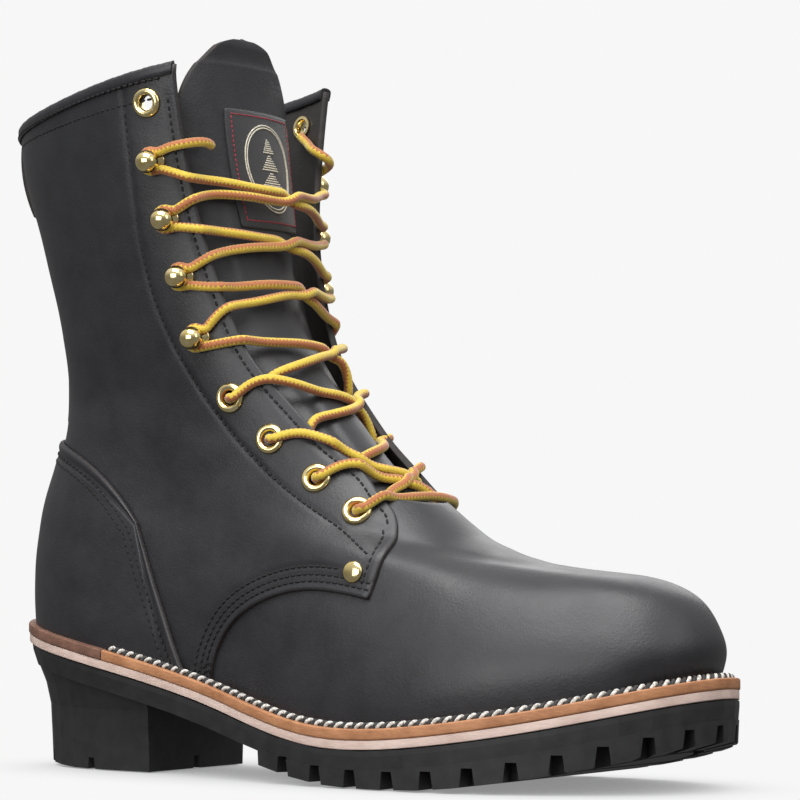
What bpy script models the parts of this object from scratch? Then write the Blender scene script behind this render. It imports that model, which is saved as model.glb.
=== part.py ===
# Logger boot for the right foot, standing empty on its sole.
# The toe points along +X, the inner side of the foot is +Y, and the floor is z = 0.
# Sizes are in millimetres and are turned into metres as each mesh is made.

import math

import bmesh
import bpy
import numpy as np
from mathutils import Vector

MM = 0.001
GAP = 0.3

# Middle of the whole boot's plan, measured from the back of the welt: it becomes the origin.
MIDDLE = (154.2, 0.0, 0.0)

# Driving dimensions.
LENGTH = 314.7
TOE_SPRING = 18.2
WELT_THICKNESS = 4.2
MIDSOLE_THICKNESS = 3.4
RUBBER_THICKNESS = 8.0

# Sole outline: share of the length from the heel, centre line, half width before the round ends.
SOLE_OUTLINE = [
    # share, centre, half
    (0.00, 0.0, 69.0),
    (0.12, 0.0, 57.5),
    (0.35, -3.3, 41.5),
    (0.50, -7.0, 45.0),
    (0.66, -2.4, 56.0),
    (0.80, 3.6, 66.8),
    (0.92, 9.0, 75.0),
    (1.00, 10.4, 85.0),
]

# Height of the welt's top face above the floor along the sole.
WELT_LINE = [
    # share, height
    (0.00, 59.2),
    (0.20, 47.8),
    (0.40, 33.4),
    (0.55, 22.8),
    (0.70, 23.6),
    (0.85, 30.7),
    (1.00, 41.4),
]

# The last: each ring is a closed section through a back point and a top point.
# dip bends a ring down to the welt line, sway gives it the foot's inward curve,
# and w0 to w5 are its half widths before the round ends, at WIDTH_SHARES from back to front.
RINGS = [
    # back_x, back_z, top_x, top_z, dip, sway, w0, w1, w2, w3, w4, w5
    (6.5, 59.5, 306.5, 41.7, 1, 1, 62, 38, 36.5, 53, 64, 80),
    (6, 68, 310, 51, 0.9, 1, 63, 39, 37, 54, 64, 78),
    (6, 77, 308.5, 60, 0.72, 1, 63, 39, 36.5, 51.5, 60, 70),
    (6.5, 86, 303.6, 68.9, 0.5, 1, 62, 39, 35.5, 46, 53, 63),
    (8, 95, 294.4, 75.7, 0.3, 0.9, 61, 38.5, 34, 40, 44, 58),
    (10, 103.5, 278, 79.8, 0.15, 0.8, 60, 38, 33, 36, 32, 44),
    (13, 112, 256, 80, 0, 0.7, 58, 37, 32, 34.5, 29, 26),
    (16.5, 120.5, 236, 84.5, 0, 0.6, 56, 36.5, 31.5, 33.5, 32, 30),
    (19.5, 129.5, 217, 91.5, 0, 0.5, 54, 36, 31.5, 33, 36, 38),
    (21.5, 139, 200, 103.5, 0, 0.4, 51, 35.5, 32, 32, 34.5, 37),
    (22, 149.5, 185, 116, 0, 0.3, 49, 35.5, 32.5, 32.5, 34, 36),
    (21.5, 161, 170, 133, 0, 0.2, 47, 35.5, 33.5, 34.5, 35.5, 37),
    (20, 173, 155, 151, 0, 0.1, 46, 36.5, 35.5, 37.5, 39, 41),
    (17, 187, 142, 169, 0, 0, 46, 38, 38, 41.5, 44, 46),
    (13, 202, 133, 190, 0, 0, 47, 40, 41, 45.5, 49, 51),
    (8, 219, 130, 215, 0, 0, 48, 43, 44.5, 49.5, 52.5, 55),
    (1.5, 238, 132, 245, 0, 0, 50, 46, 48.5, 54, 57.5, 60),
    (-1, 256.5, 139, 283, 0, 0, 52, 49, 52, 58.5, 62, 64),
]
WIDTH_SHARES = (0.0, 0.25, 0.5, 0.75, 0.9, 1.0)


def spline(knots, values, x):
    # Natural cubic curve through the values, held flat past both ends.
    knots = np.asarray(knots, float)
    values = np.asarray(values, float)
    count = len(knots)
    step = np.diff(knots)
    matrix = np.eye(count)
    bend = np.zeros(values.shape)
    for i in range(1, count - 1):
        matrix[i, i - 1:i + 2] = step[i - 1], 2 * (step[i - 1] + step[i]), step[i]
        bend[i] = 6 * ((values[i + 1] - values[i]) / step[i] - (values[i] - values[i - 1]) / step[i - 1])
    bend = np.linalg.solve(matrix, bend)
    x = np.clip(np.asarray(x, float), knots[0], knots[-1])
    i = np.clip(np.searchsorted(knots, x) - 1, 0, count - 2)
    after, before, h = x - knots[i], knots[i + 1] - x, step[i]
    if values.ndim > 1:
        after, before, h = after[..., None], before[..., None], h[..., None]
    curve = (bend[i] * before ** 3 + bend[i + 1] * after ** 3) / (6 * h)
    return curve + (values[i] / h - bend[i] * h / 6) * before + (values[i + 1] / h - bend[i + 1] * h / 6) * after


def column(table, index):
    return [row[index] for row in table]


def centre_line(x):
    return spline(column(SOLE_OUTLINE, 0), column(SOLE_OUTLINE, 1), np.asarray(x) / LENGTH)


def welt_top(x):
    return spline(column(WELT_LINE, 0), column(WELT_LINE, 1), np.asarray(x) / LENGTH)


def sole_edge(angle, inset):
    # Plan point on the sole's outline. Angle 0 is the toe, pi the heel, and +Y is positive.
    def edge(a):
        share = (1 + np.cos(a)) / 2
        half = spline(column(SOLE_OUTLINE, 0), column(SOLE_OUTLINE, 2), share)
        return np.stack([LENGTH * share, centre_line(LENGTH * share) + half * np.sin(a)], -1)
    angle = np.asarray(angle, float)
    run = edge(angle + 0.002) - edge(angle - 0.002)
    run /= np.linalg.norm(run, axis=-1, keepdims=True)
    inward = np.stack([-run[..., 1], run[..., 0]], -1)
    return edge(angle) + inset * inward


def form(ring, angle, offset):
    # Point on the last, moved out by the offset. Ring and angle are arrays of one shape.
    def surface(r, a):
        row = spline(range(len(RINGS)), RINGS, r)
        share = (1 + np.cos(a)) / 2
        x = row[..., 0] + share * (row[..., 2] - row[..., 0])
        line = row[..., 1] + share * (row[..., 3] - row[..., 1])
        first = RINGS[0]
        foot = first[1] + (x - first[0]) / (first[2] - first[0]) * (first[3] - first[1])
        z = line + row[..., 4] * (welt_top(x) + GAP - foot)
        table = spline(WIDTH_SHARES, np.eye(len(WIDTH_SHARES)), share)
        half = (table * row[..., 6:]).sum(-1)
        y = row[..., 5] * centre_line(x) + half * np.sin(a)
        return np.stack([x, y, z], -1)
    ring = np.asarray(ring, float)
    angle = np.asarray(angle, float)
    last = len(RINGS) - 1.0
    low, high = np.clip(ring - 0.05, 0, last), np.clip(ring + 0.05, 0, last)
    along = surface(high, angle) - surface(low, angle)
    across = surface(ring, angle + 0.01) - surface(ring, angle - 0.01)
    normal = np.cross(across, along)
    normal /= np.linalg.norm(normal, axis=-1, keepdims=True)
    return surface(ring, angle) + np.asarray(offset)[..., None] * normal


# Sizes of the pieces.
FOOT_WALL = 1.8
SHAFT_WALL = 1.3
OVERLAY = 1.6
COLUMNS = 32
RIM = 16.95
RAND_ANGLE = math.radians(127)
WELT_WIDTH = 12.0
BINDING = 0.9
BINDING_DEPTH = 0.1
BINDING_START = 58.5
INSOLE_THICKNESS = 2.6
HEEL_BREAST_X = 79.5
HEEL_FLAT_X = 42.0
HEEL_REAR_RISE = 3.0
HEEL_TAPER = 2.6
TREAD_START_X = 147.0
TREAD_FLAT = (190.0, 212.0)
REAR_RISE = 6.5
LUG_PITCH = 16.7
LUG_DEPTH = 6.8
GROOVE = 4.0
HOLE_RADIUS = 3.5
EYELET_RADIUS = 5.9
HOOK_BALL = (4.5, 4.6)
RIVET_RADIUS = 4.1
LACE_RADIUS = 1.85

# Heel block: height, inset from the sole's outline.
HEEL_LEVELS = [
    # height, inset
    (0.0, 10.0),
    (10.0, 9.6),
    (24.0, 8.9),
    (33.0, 7.0),
    (42.0, 3.6),
]

# Side outlines in the XZ plane, each drawn as a smooth curve through its points.
FACING_EDGE = [(213, 103.5), (198, 101.5), (190, 105.5), (178, 115), (161, 128.5), (146, 143), (128.5, 163),
               (117.5, 188), (111, 212), (107.5, 240), (106.5, 283), (106.5, 310)]
QUARTER_FRONT = [(206, 118), (196, 103), (196.5, 89), (193, 69.8)]
QUARTER_SWEEP = [(193, 69.8), (167, 73), (142, 68), (123.5, 56), (115.5, 40), (113, 18)]
COUNTER_EDGE = [(-30, 134), (10, 133.5), (30, 129), (57, 116.6), (77, 98), (89, 70), (98, 49), (108, 26)]

# Rows of hardware: ring and angle from the front, the same on both sides.
EYELETS = [(8.33, 48.8), (9.30, 53.9), (10.36, 60.9), (11.28, 67.0), (16.58, 67.0)]
HOOKS = [(12.75, 64.2), (14.03, 59.4), (15.00, 60.7), (15.85, 63.8)]
RIVET = (4.41, 74.7)

# Tongue sections, each lying in a ring's plane. front is how far its middle lies behind the
# ring's top point, and the two angles say where its sides end.
TONGUE = [
    # ring, front, side, half, sag, rise, outer_deg, inner_deg
    (8.95, 9.0, 0.0, 27.0, 70.0, 0.0, 38, 38),
    (10.0, 11.5, 0.0, 28.0, 66.0, 0.0, 48, 48),
    (11.0, 12.5, 0.0, 29.5, 58.0, 0.0, 52, 52),
    (12.0, 13.0, 0.0, 32.5, 50.0, 0.0, 54, 54),
    (13.0, 13.0, -0.5, 36.0, 40.0, 0.0, 56, 56),
    (14.0, 13.0, -1.0, 38.0, 31.0, 0.0, 58, 57),
    (15.0, 14.5, -2.5, 39.0, 26.0, 0.0, 60, 56),
    (16.0, 19.5, -5.5, 42.0, 22.0, 0.0, 60, 52),
    (16.65, 26.0, -8.5, 44.0, 17.0, 0.0, 50, 46),
    (17.0, 30.0, -8.0, 44.0, 14.0, 1.4, 36, 32),
    (17.0, 30.5, -7.5, 44.0, 12.0, 9.0, 21, 20),
    (17.0, 31.0, -7.5, 44.0, 11.0, 12.0, 9, 8),
]
TONGUE_THICKNESS = 3.0
LABEL_ROWS = (5.95, 6.4, 6.85, 7.3, 7.72)
LABEL_SHARES = (0.33, 0.90)

# Laces: ring, angle from the front and lift above the last, from the outer side to the inner.
# Each crossing's second strand is the first one mirrored.
LACE_BAR = [(8.33, -47, 5.4), (8.58, -40, 5.2), (8.95, -28, 4.4), (9.10, -11, 3.6), (9.10, 11, 3.6),
            (8.95, 28, 4.4), (8.58, 40, 5.2), (8.33, 47, 5.4)]
CROSSINGS = [
    [(9.30, -52, 5.4), (9.72, -43, 5.0), (9.84, -34, 4.8), (9.72, -24, 1.6), (9.52, -12, -1.2), (9.40, 0, -2.2),
     (9.28, 10, -2.4)],
    [(10.36, -59, 5.4), (10.50, -51, 5.0), (10.55, -41, 4.7), (10.42, -33, 3.2), (10.22, -22, 0.0),
     (10.07, -12, -1.7), (9.95, 0, -2.4), (9.86, 10, -2.5)],
    [(11.28, -65, 5.4), (11.60, -55, 5.0), (11.80, -44, 4.8), (11.86, -33, 2.4), (11.80, -18, -1.6),
     (11.62, -4, -4.0), (11.42, 8, -4.4), (11.25, 18, -4.4)],
    [(12.62, -57, 4.8), (12.68, -48, 4.6), (12.78, -36, 2.4), (12.90, -18, -3.0), (12.85, 0, -5.6),
     (12.62, 14, -6.0), (12.32, 25, -5.6)],
    [(12.98, -57, 4.8), (13.33, -48, 4.8), (13.60, -38, 2.6), (13.88, -18, -3.6), (13.98, 0, -6.0),
     (13.93, 20, -3.6), (13.88, 38, 2.6), (13.86, 48, 4.8), (13.86, 54, 4.8)],
    [(14.18, -53, 4.8), (14.38, -47, 4.8), (14.52, -38, 2.0), (14.68, -16, -6.0), (14.75, 0, -8.0),
     (14.78, 18, -5.8), (14.80, 38, 2.0), (14.82, 48, 4.8), (14.86, 54, 4.8)],
    [(15.16, -56, 4.8), (15.30, -50, 4.8), (15.33, -40, 1.8), (15.37, -18, -7.4), (15.41, 0, -9.2),
     (15.47, 18, -7.4), (15.55, 41, 1.8), (15.62, 51, 4.8), (15.70, 58, 4.8)],
]
LACE_ENDS = {
    "lace_end_outer": [(16.00, -58, 4.8), (16.04, -52, 4.0), (16.05, -47, 1.4), (16.03, -43.5, -2.0)],
    "lace_end_inner": [(16.00, 57, 4.8), (16.06, 50, 3.6), (16.10, 46.5, -0.8), (16.16, 49, -4.2),
                       (16.28, 57, -3.9), (16.42, 64, -3.6)],
}


def below(x, depth):
    return welt_top(x) - depth


def heel_base(x):
    # Ground line of the heel: flat in front, worn up a little at the back.
    return HEEL_REAR_RISE * (np.clip(HEEL_FLAT_X - np.asarray(x, float), 0, None) / HEEL_FLAT_X) ** 1.4


def tread(x):
    # Ground line of the forepart: up behind the ball, flat under it, and up to the toe.
    x = np.asarray(x, float)
    rear = REAR_RISE * (np.clip(TREAD_FLAT[0] - x, 0, None) / (TREAD_FLAT[0] - TREAD_START_X)) ** 1.6
    front = TOE_SPRING * (np.clip(x - TREAD_FLAT[1], 0, None) / (LENGTH - TREAD_FLAT[1])) ** 1.7
    return rear + front


# Materials and meshes.
for old in list(bpy.data.objects):
    bpy.data.objects.remove(old)


def material(name, color, roughness, metallic=0.0):
    made = bpy.data.materials.new(name)
    made.use_nodes = True
    shader = made.node_tree.nodes["Principled BSDF"]
    shader.inputs["Base Color"].default_value = (*color, 1)
    shader.inputs["Roughness"].default_value = roughness
    shader.inputs["Metallic"].default_value = metallic
    return made


LEATHER = material("black_leather", (0.035, 0.035, 0.038), 0.45)
WELT_LEATHER = material("tan_welt", (0.50, 0.25, 0.14), 0.6)
PALE_LEATHER = material("pale_midsole", (0.76, 0.62, 0.56), 0.7)
DARK_RAND = material("brown_rand", (0.28, 0.16, 0.11), 0.6)
RUBBER = material("black_rubber", (0.03, 0.03, 0.03), 0.75)
BRASS = material("brass", (0.80, 0.62, 0.28), 0.2, 1.0)
LACE_CLOTH = material("two_tone_lace", (0.62, 0.44, 0.12), 0.8)
LABEL_CLOTH = material("label_cloth", (0.03, 0.03, 0.035), 0.6)
LINING = material("insole_leather", (0.10, 0.09, 0.08), 0.7)


def place(point):
    return tuple(float(c - m) * MM for c, m in zip(point, MIDDLE))


def add_object(name, mesh_material, vertices, faces):
    mesh = bpy.data.meshes.new(name)
    mesh.from_pydata([place(v) for v in vertices], [], faces)
    work = bmesh.new()
    work.from_mesh(mesh)
    bmesh.ops.remove_doubles(work, verts=work.verts, dist=0.00001)
    bmesh.ops.dissolve_degenerate(work, dist=0.000005, edges=work.edges)
    bmesh.ops.recalc_face_normals(work, faces=work.faces)
    work.to_mesh(mesh)
    work.free()
    mesh.materials.append(mesh_material)
    made = bpy.data.objects.new(name, mesh)
    bpy.context.scene.collection.objects.link(made)
    return made


def cutter(made):
    made.hide_render = True
    made.display_type = "WIRE"
    return made


def boolean(target, operation, other):
    change = target.modifiers.new(operation.lower() + "_" + other.name, "BOOLEAN")
    change.operation = operation
    change.solver = "EXACT"
    change.object = cutter(other)


def loft(name, mesh_material, rings, tip=True):
    # Closed loops skinned in turn. Each cap is a ladder between the loop's two sides,
    # from the single point at its tip or from its straight end.
    count = len(rings[0])
    vertices = [p for ring in rings for p in ring]
    faces = []
    for level in range(len(rings) - 1):
        for i in range(count):
            j = (i + 1) % count
            low, high = level * count, (level + 1) * count
            faces.append((low + i, low + j, high + j, high + i))
    for base in (0, (len(rings) - 1) * count):
        for i in range(count // 2):
            far = count - i if tip else count - 1 - i
            quad = [base + v for v in (i, i + 1, far - 1, far % count)]
            faces.append(tuple(dict.fromkeys(quad)))
    return add_object(name, mesh_material, vertices, [f for f in faces if len(f) > 2])


def tube(name, mesh_material, sections):
    # Sections of equal size skinned along a run and closed at both ends.
    count = len(sections[0])
    vertices = [p for section in sections for p in section]
    faces = []
    for level in range(len(sections) - 1):
        for i in range(count):
            j = (i + 1) % count
            low, high = level * count, (level + 1) * count
            faces.append((low + i, low + j, high + j, high + i))
    faces.append(tuple(range(count)))
    faces.append(tuple(range(len(vertices) - count, len(vertices))))
    return add_object(name, mesh_material, vertices, faces)


def sheet(name, mesh_material, outer, inner):
    # Two grids of the same size joined round their border into one thin solid.
    rows, columns = outer.shape[:2]
    vertices = list(outer.reshape(-1, 3)) + list(inner.reshape(-1, 3))
    back = rows * columns
    faces = []
    for r in range(rows - 1):
        for c in range(columns - 1):
            a = r * columns + c
            faces.append((a, a + 1, a + 1 + columns, a + columns))
            faces.append((back + a, back + a + columns, back + a + 1 + columns, back + a + 1))
    border = [c for c in range(columns)]
    border += [r * columns + columns - 1 for r in range(1, rows)]
    border += [(rows - 1) * columns + c for c in range(columns - 2, -1, -1)]
    border += [r * columns for r in range(rows - 2, 0, -1)]
    for a, b in zip(border, border[1:] + border[:1]):
        faces.append((a, b, back + b, back + a))
    return add_object(name, mesh_material, vertices, faces)


def prism(name, outline, near_y, far_y):
    # Straight cutter from an outline in the XZ plane.
    near = [(x, near_y, z) for x, z in outline]
    far = [(x, far_y, z) for x, z in outline]
    return tube(name, LEATHER, [near, far])


def through(points, count):
    # Smooth curve through a few points, spaced by their chords.
    points = np.asarray(points, float)
    run = np.concatenate([[0], np.cumsum(np.linalg.norm(np.diff(points, axis=0), axis=1))])
    return spline(run, points, np.linspace(0, run[-1], count))


def sole_loop(inset, height, angles):
    edge = sole_edge(angles, np.asarray(inset, float)[..., None])
    return np.concatenate([edge, np.asarray(height(edge[:, 0]))[:, None]], 1)


def full_turn(count):
    return np.arange(count) * 2 * np.pi / count


def band(name, mesh_material, start, end, outer, inner, top, bottom, count):
    # Strip that follows the sole's outline between two insets and two heights.
    sections = []
    for angle in np.linspace(start, end, count):
        out, inn = sole_edge(angle, outer), sole_edge(angle, inner)
        sections.append([(*out, top(out[0])), (*out, bottom(out[0])), (*inn, bottom(inn[0])), (*inn, top(inn[0]))])
    return tube(name, mesh_material, sections)


# Sole.
def build_welt():
    top, bottom = welt_top, lambda x: below(x, WELT_THICKNESS)
    band("welt", WELT_LEATHER, -RAND_ANGLE, RAND_ANGLE, 0, WELT_WIDTH, top, bottom, 41)
    joint = GAP / 60
    band("heel_rand", DARK_RAND, RAND_ANGLE + joint, 2 * math.pi - RAND_ANGLE - joint, 0, WELT_WIDTH, top, bottom, 17)


def build_midsole():
    top = WELT_THICKNESS + GAP
    levels = [(0.3, top + MIDSOLE_THICKNESS), (0.3, top)]
    turn = full_turn(48)
    loft("midsole", PALE_LEATHER, [sole_loop(i, lambda x, d=d: below(x, d), turn) for i, d in levels])


def build_insole():
    inside = WELT_WIDTH + 0.7
    levels = [(inside, WELT_THICKNESS), (inside, -INSOLE_THICKNESS)]
    turn = full_turn(40)
    loft("insole", LINING, [sole_loop(i, lambda x, d=d: below(x, d), turn) for i, d in levels])


def heel_block():
    rings = []
    rubber_top = WELT_THICKNESS + MIDSOLE_THICKNESS + 2 * GAP
    ground, tallest = heel_base, HEEL_LEVELS[-1][0]
    heights = [(lambda x, z=z: z + ground(x) * (1 - z / tallest), inset) for z, inset in HEEL_LEVELS]
    heights.append((lambda x: below(x, rubber_top + 3), 1.9))
    for height, inset in heights:
        side = math.acos(2 * HEEL_BREAST_X / LENGTH - 1)
        angles = np.linspace(side, 2 * math.pi - side, 18)
        ring = sole_loop(inset, height, angles)
        ring[[0, -1], 0] = HEEL_BREAST_X
        ring[[0, -1], 2] = height(HEEL_BREAST_X)
        rings.append(ring)
    return loft("heel_block", RUBBER, rings, tip=False)


def lug_block():
    side = math.acos(2 * TREAD_START_X / LENGTH - 1)
    angles = np.linspace(-side, side, 34)
    rubber_bottom = WELT_THICKNESS + MIDSOLE_THICKNESS + 2 * GAP + RUBBER_THICKNESS
    return loft("lug_block", RUBBER, [sole_loop(0.8, tread, angles),
                                      sole_loop(0.4, lambda x: below(x, rubber_bottom - 1), angles)], tip=False)


def groove_box(name, start, end, width, base, depth):
    # Channel between two plan points, open below, with a sloping front side.
    start, end = np.asarray(start, float), np.asarray(end, float)
    run = (end - start) / np.linalg.norm(end - start)
    across = np.array([-run[1], run[0]]) * width / 2
    sections = []
    for p in (start, end):
        a, b = p + across, p - across
        c, d = p + 0.7 * across, p - 0.7 * across
        sections.append([(*a, base - 4), (*b, base - 4), (*b, base), (*d, base + depth), (*c, base + depth),
                         (*a, base)])
    return tube(name, RUBBER, sections)


def side_notches():
    # Angles of the notches round the forepart, a fixed distance apart along the edge.
    fine = np.linspace(-math.pi / 2, math.pi / 2, 400)
    edge = sole_edge(fine, 0)
    run = np.concatenate([[0], np.cumsum(np.linalg.norm(np.diff(edge, axis=0), axis=1))])
    count = int(run[-1] // LUG_PITCH)
    return np.interp((np.arange(count + 1) + (run[-1] / LUG_PITCH - count) / 2) * LUG_PITCH, run, fine)


def build_outsole():
    rubber_top = WELT_THICKNESS + MIDSOLE_THICKNESS + 2 * GAP
    turn = full_turn(48)
    taper = HEEL_TAPER * np.clip(-1.6 * np.cos(turn) - 0.4, 0, 1)
    outsole = loft("outsole", RUBBER, [
        sole_loop(0.8 + taper, lambda x: below(x, rubber_top + RUBBER_THICKNESS), turn),
        sole_loop(0.3 + 0.4 * taper, lambda x: below(x, rubber_top + 2), turn),
        sole_loop(0.3 + 0.3 * taper, lambda x: below(x, rubber_top), turn)])
    boolean(outsole, "UNION", heel_block())
    boolean(outsole, "UNION", lug_block())
    for i, angle in enumerate(side_notches()):
        outer, inner = sole_edge(angle, -4), sole_edge(angle, 13)
        base = float(tread(sole_edge(angle, 3)[0]))
        boolean(outsole, "DIFFERENCE", groove_box("notch_%02d" % i, outer, inner, 6.0, base, LUG_DEPTH))
    ring = band("lug_ring", RUBBER, -1.75, 1.75, 13, 13 + GROOVE, lambda x: tread(x) + LUG_DEPTH,
                lambda x: tread(x) - 4, 21)
    boolean(outsole, "DIFFERENCE", ring)
    for i in range(8):
        x = TREAD_START_X + 11 + i * LUG_PITCH
        reach = 15.0
        base = float(tread(x))
        half = float(sole_edge(math.acos(2 * x / LENGTH - 1), reach)[1])
        other = float(sole_edge(-math.acos(2 * x / LENGTH - 1), reach)[1])
        boolean(outsole, "DIFFERENCE", groove_box("row_%02d" % i, (x, other), (x, half), GROOVE, base, LUG_DEPTH - 0.6))
    for i, angle in enumerate((2.35, 2.75, -2.75, -2.35)):
        outer, inner = sole_edge(angle, 3), sole_edge(angle, 19)
        base = float(heel_base(outer[0]))
        boolean(outsole, "DIFFERENCE", groove_box("heel_notch_%d" % i, outer, inner, 4.5, base, 4.5))
    boolean(outsole, "DIFFERENCE", groove_box("heel_channel", (40, -1), (HEEL_BREAST_X + 4, -1), 4.5, 0, 5.0))
    return outsole


# Upper.
def last_grid(rings, columns, offset):
    ring, angle = np.meshgrid(rings, full_turn(columns), indexing="ij")
    depth = np.broadcast_to(np.asarray(offset, float).reshape(-1, 1), ring.shape)
    grid = form(ring, angle, depth)
    floor = welt_top(grid[..., 0]) + GAP
    grid[..., 2] = np.maximum(grid[..., 2], floor)
    return grid


def shell(name, rings, columns, inner, outer):
    # Hollow tube round the last, open at both ends.
    out, inn = last_grid(rings, columns, outer), last_grid(rings, columns, inner)
    rows = len(rings)
    vertices = list(out.reshape(-1, 3)) + list(inn.reshape(-1, 3))
    back = rows * columns
    faces = []
    for r in range(rows - 1):
        for c in range(columns):
            a, b = r * columns + c, r * columns + (c + 1) % columns
            faces.append((a, b, b + columns, a + columns))
            faces.append((back + a, back + a + columns, back + b + columns, back + b))
    for r in (0, rows - 1):
        for c in range(columns):
            a, b = r * columns + c, r * columns + (c + 1) % columns
            faces.append((a, back + a, back + b, b))
    return add_object(name, LEATHER, vertices, faces)


def wall(ring):
    return np.interp(ring, [6, 10], [FOOT_WALL, SHAFT_WALL])


def hole(name, ring, angle, radius):
    point, normal = spot(ring, angle, 0)
    return turned(name, BRASS, point, normal, [(0, -5), (radius, -5), (radius, 6), (0, 6)], 8)


def spot(ring, degrees, lift):
    # Point and outward direction on the last.
    angle = math.radians(degrees)
    low, high = form([ring, ring], [angle, angle], [lift, lift + 1])
    return low, (high - low) / np.linalg.norm(high - low)


def turned(name, mesh_material, point, normal, profile, segments):
    # Profile of radius and height, turned round the direction of the normal.
    up = np.array([0, 0, 1.0]) - normal[2] * normal
    up /= np.linalg.norm(up)
    side = np.cross(up, normal)
    closed = profile[0][0] == 0
    vertices, faces, loops = [], [], []
    for radius, height in profile:
        if radius == 0:
            loops.append([len(vertices)] * segments)
            vertices.append(point + normal * height)
            continue
        loops.append(list(range(len(vertices), len(vertices) + segments)))
        for i in range(segments):
            a = 2 * math.pi * (i + 0.5) / segments
            vertices.append(point + normal * height + radius * (math.cos(a) * side + math.sin(a) * up))
    pairs = list(zip(loops, loops[1:]))
    if not closed:
        pairs.append((loops[-1], loops[0]))
    for low, high in pairs:
        for i in range(segments):
            j = (i + 1) % segments
            face = tuple(dict.fromkeys((low[i], low[j], high[j], high[i])))
            faces.append(face)
    return add_object(name, mesh_material, vertices, faces)


def build_upper():
    rings = np.append(np.arange(0, 14.0), (14.3, 15.6, RIM))
    upper = shell("upper", rings, COLUMNS, -wall(rings), 0 * rings)
    inside = np.clip(rings, 0.07, RIM - 0.04)
    step = shell("quarter_step", inside, COLUMNS, 0 * rings - 0.4, 0 * rings + OVERLAY)
    outline = list(through(QUARTER_FRONT, 6)) + list(through(QUARTER_SWEEP, 12))[1:]
    outline += [(-40, 18), (-40, 320), (206, 320)]
    boolean(step, "INTERSECT", prism("quarter_outline", outline, -90, 90))
    boolean(upper, "UNION", step)
    throat = list(through(FACING_EDGE, 16)) + [(230, 310), (230, 104)]
    boolean(upper, "DIFFERENCE", prism("throat", throat, -90, 90))
    for row, (ring, degrees) in enumerate(EYELETS):
        for side in (-1, 1):
            drill = hole("drill_%d_%d" % (row, side + 1), ring, side * degrees, HOLE_RADIUS)
            boolean(upper, "DIFFERENCE", drill)


def build_counter():
    rings = np.arange(0, 10.0)
    lift = OVERLAY + GAP
    counter = shell("heel_counter", rings, COLUMNS, 0 * rings + lift, 0 * rings + lift + 1.6)
    outline = [(-30, 18)] + list(through(COUNTER_EDGE, 14))
    boolean(counter, "INTERSECT", prism("counter_outline", outline, -90, 90))


def surface_patch(name, rings, degrees, inner, outer):
    # Thin piece on the last between rows of rings, with its own half width in degrees at each.
    grids = []
    for lift in (outer, inner):
        rows = []
        for ring, half in zip(rings, degrees):
            angle = np.radians(180 + np.linspace(-half, half, 7))
            rows.append(form(np.full(7, ring), angle, np.full(7, lift)))
        grids.append(np.array(rows))
    return sheet(name, LEATHER, *grids)


def build_back_stay():
    lift = OVERLAY + GAP
    rings = [9.6, 10, 11, 12, 13, 14.3, 15.6, 16.1, 16.7]
    stay = surface_patch("back_stay", rings, [13] * 5 + [14] * 4, lift, lift + 1.6)
    pull = surface_patch("back_stay_top", [15.55, 16.1, 16.75], [15.5, 15.5, 15.5], lift + 0.6, lift + 3.6)
    boolean(stay, "UNION", pull)


def build_collar():
    # Folded binding over the rim, from one facing round the back to the other.
    inner, outer = -SHAFT_WALL - GAP, OVERLAY + GAP
    hem = RIM - BINDING_DEPTH
    profile = [(hem, outer), (hem, outer + BINDING), (RIM, outer + BINDING), (RIM, inner - BINDING),
               (hem, inner - BINDING), (hem, inner)]
    top = GAP + BINDING
    rise = [0, 0, top, top, 0, 0]
    sections = []
    step = 360 / COLUMNS
    for degrees in [BINDING_START, *np.arange(6, COLUMNS - 5) * step, 360 - BINDING_START]:
        angle = math.radians(degrees)
        section = [form([r], [angle], [o])[0] + (0, 0, up) for (r, o), up in zip(profile, rise)]
        lip = [form([RIM], [angle], [o])[0] + (0, 0, GAP) for o in (inner, outer)]
        sections.append(section + lip)
    tube("collar_binding", LEATHER, sections)


# Tongue and label.
def tongue_row(row, share, lift):
    ring, front, side, half, sag, rise, outer_deg, inner_deg = spline(range(len(TONGUE)), TONGUE, row)
    section = spline(range(len(RINGS)), RINGS, ring)
    slope = (section[3] - section[1]) / (section[2] - section[0])
    angle = math.radians(-outer_deg + share * (outer_deg + inner_deg))
    x = section[2] - front - sag * (1 - math.cos(angle))
    y = side + half * math.sin(angle)
    return np.array([x, y, section[3] + slope * (x - section[2]) + rise]), lift


def tongue_grid(rows, shares, lift):
    # Points on the tongue, moved out along its own normal.
    grid = np.array([[tongue_row(row, share, 0)[0] for share in shares] for row in rows])
    along = np.gradient(grid, axis=0)
    across = np.gradient(grid, axis=1)
    normal = np.cross(across, along)
    normal /= np.linalg.norm(normal, axis=-1, keepdims=True)
    return grid + lift * normal


def build_tongue():
    rows = np.linspace(0, len(TONGUE) - 1, 15)
    shares = np.linspace(0, 1, 9)
    sheet("tongue", LEATHER, tongue_grid(rows, shares, 0), tongue_grid(rows, shares, -TONGUE_THICKNESS))
    label = np.linspace(*LABEL_SHARES, 7)
    sheet("label_patch", LABEL_CLOTH, tongue_grid(LABEL_ROWS, label, 1.4), tongue_grid(LABEL_ROWS, label, 0.6))


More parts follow.
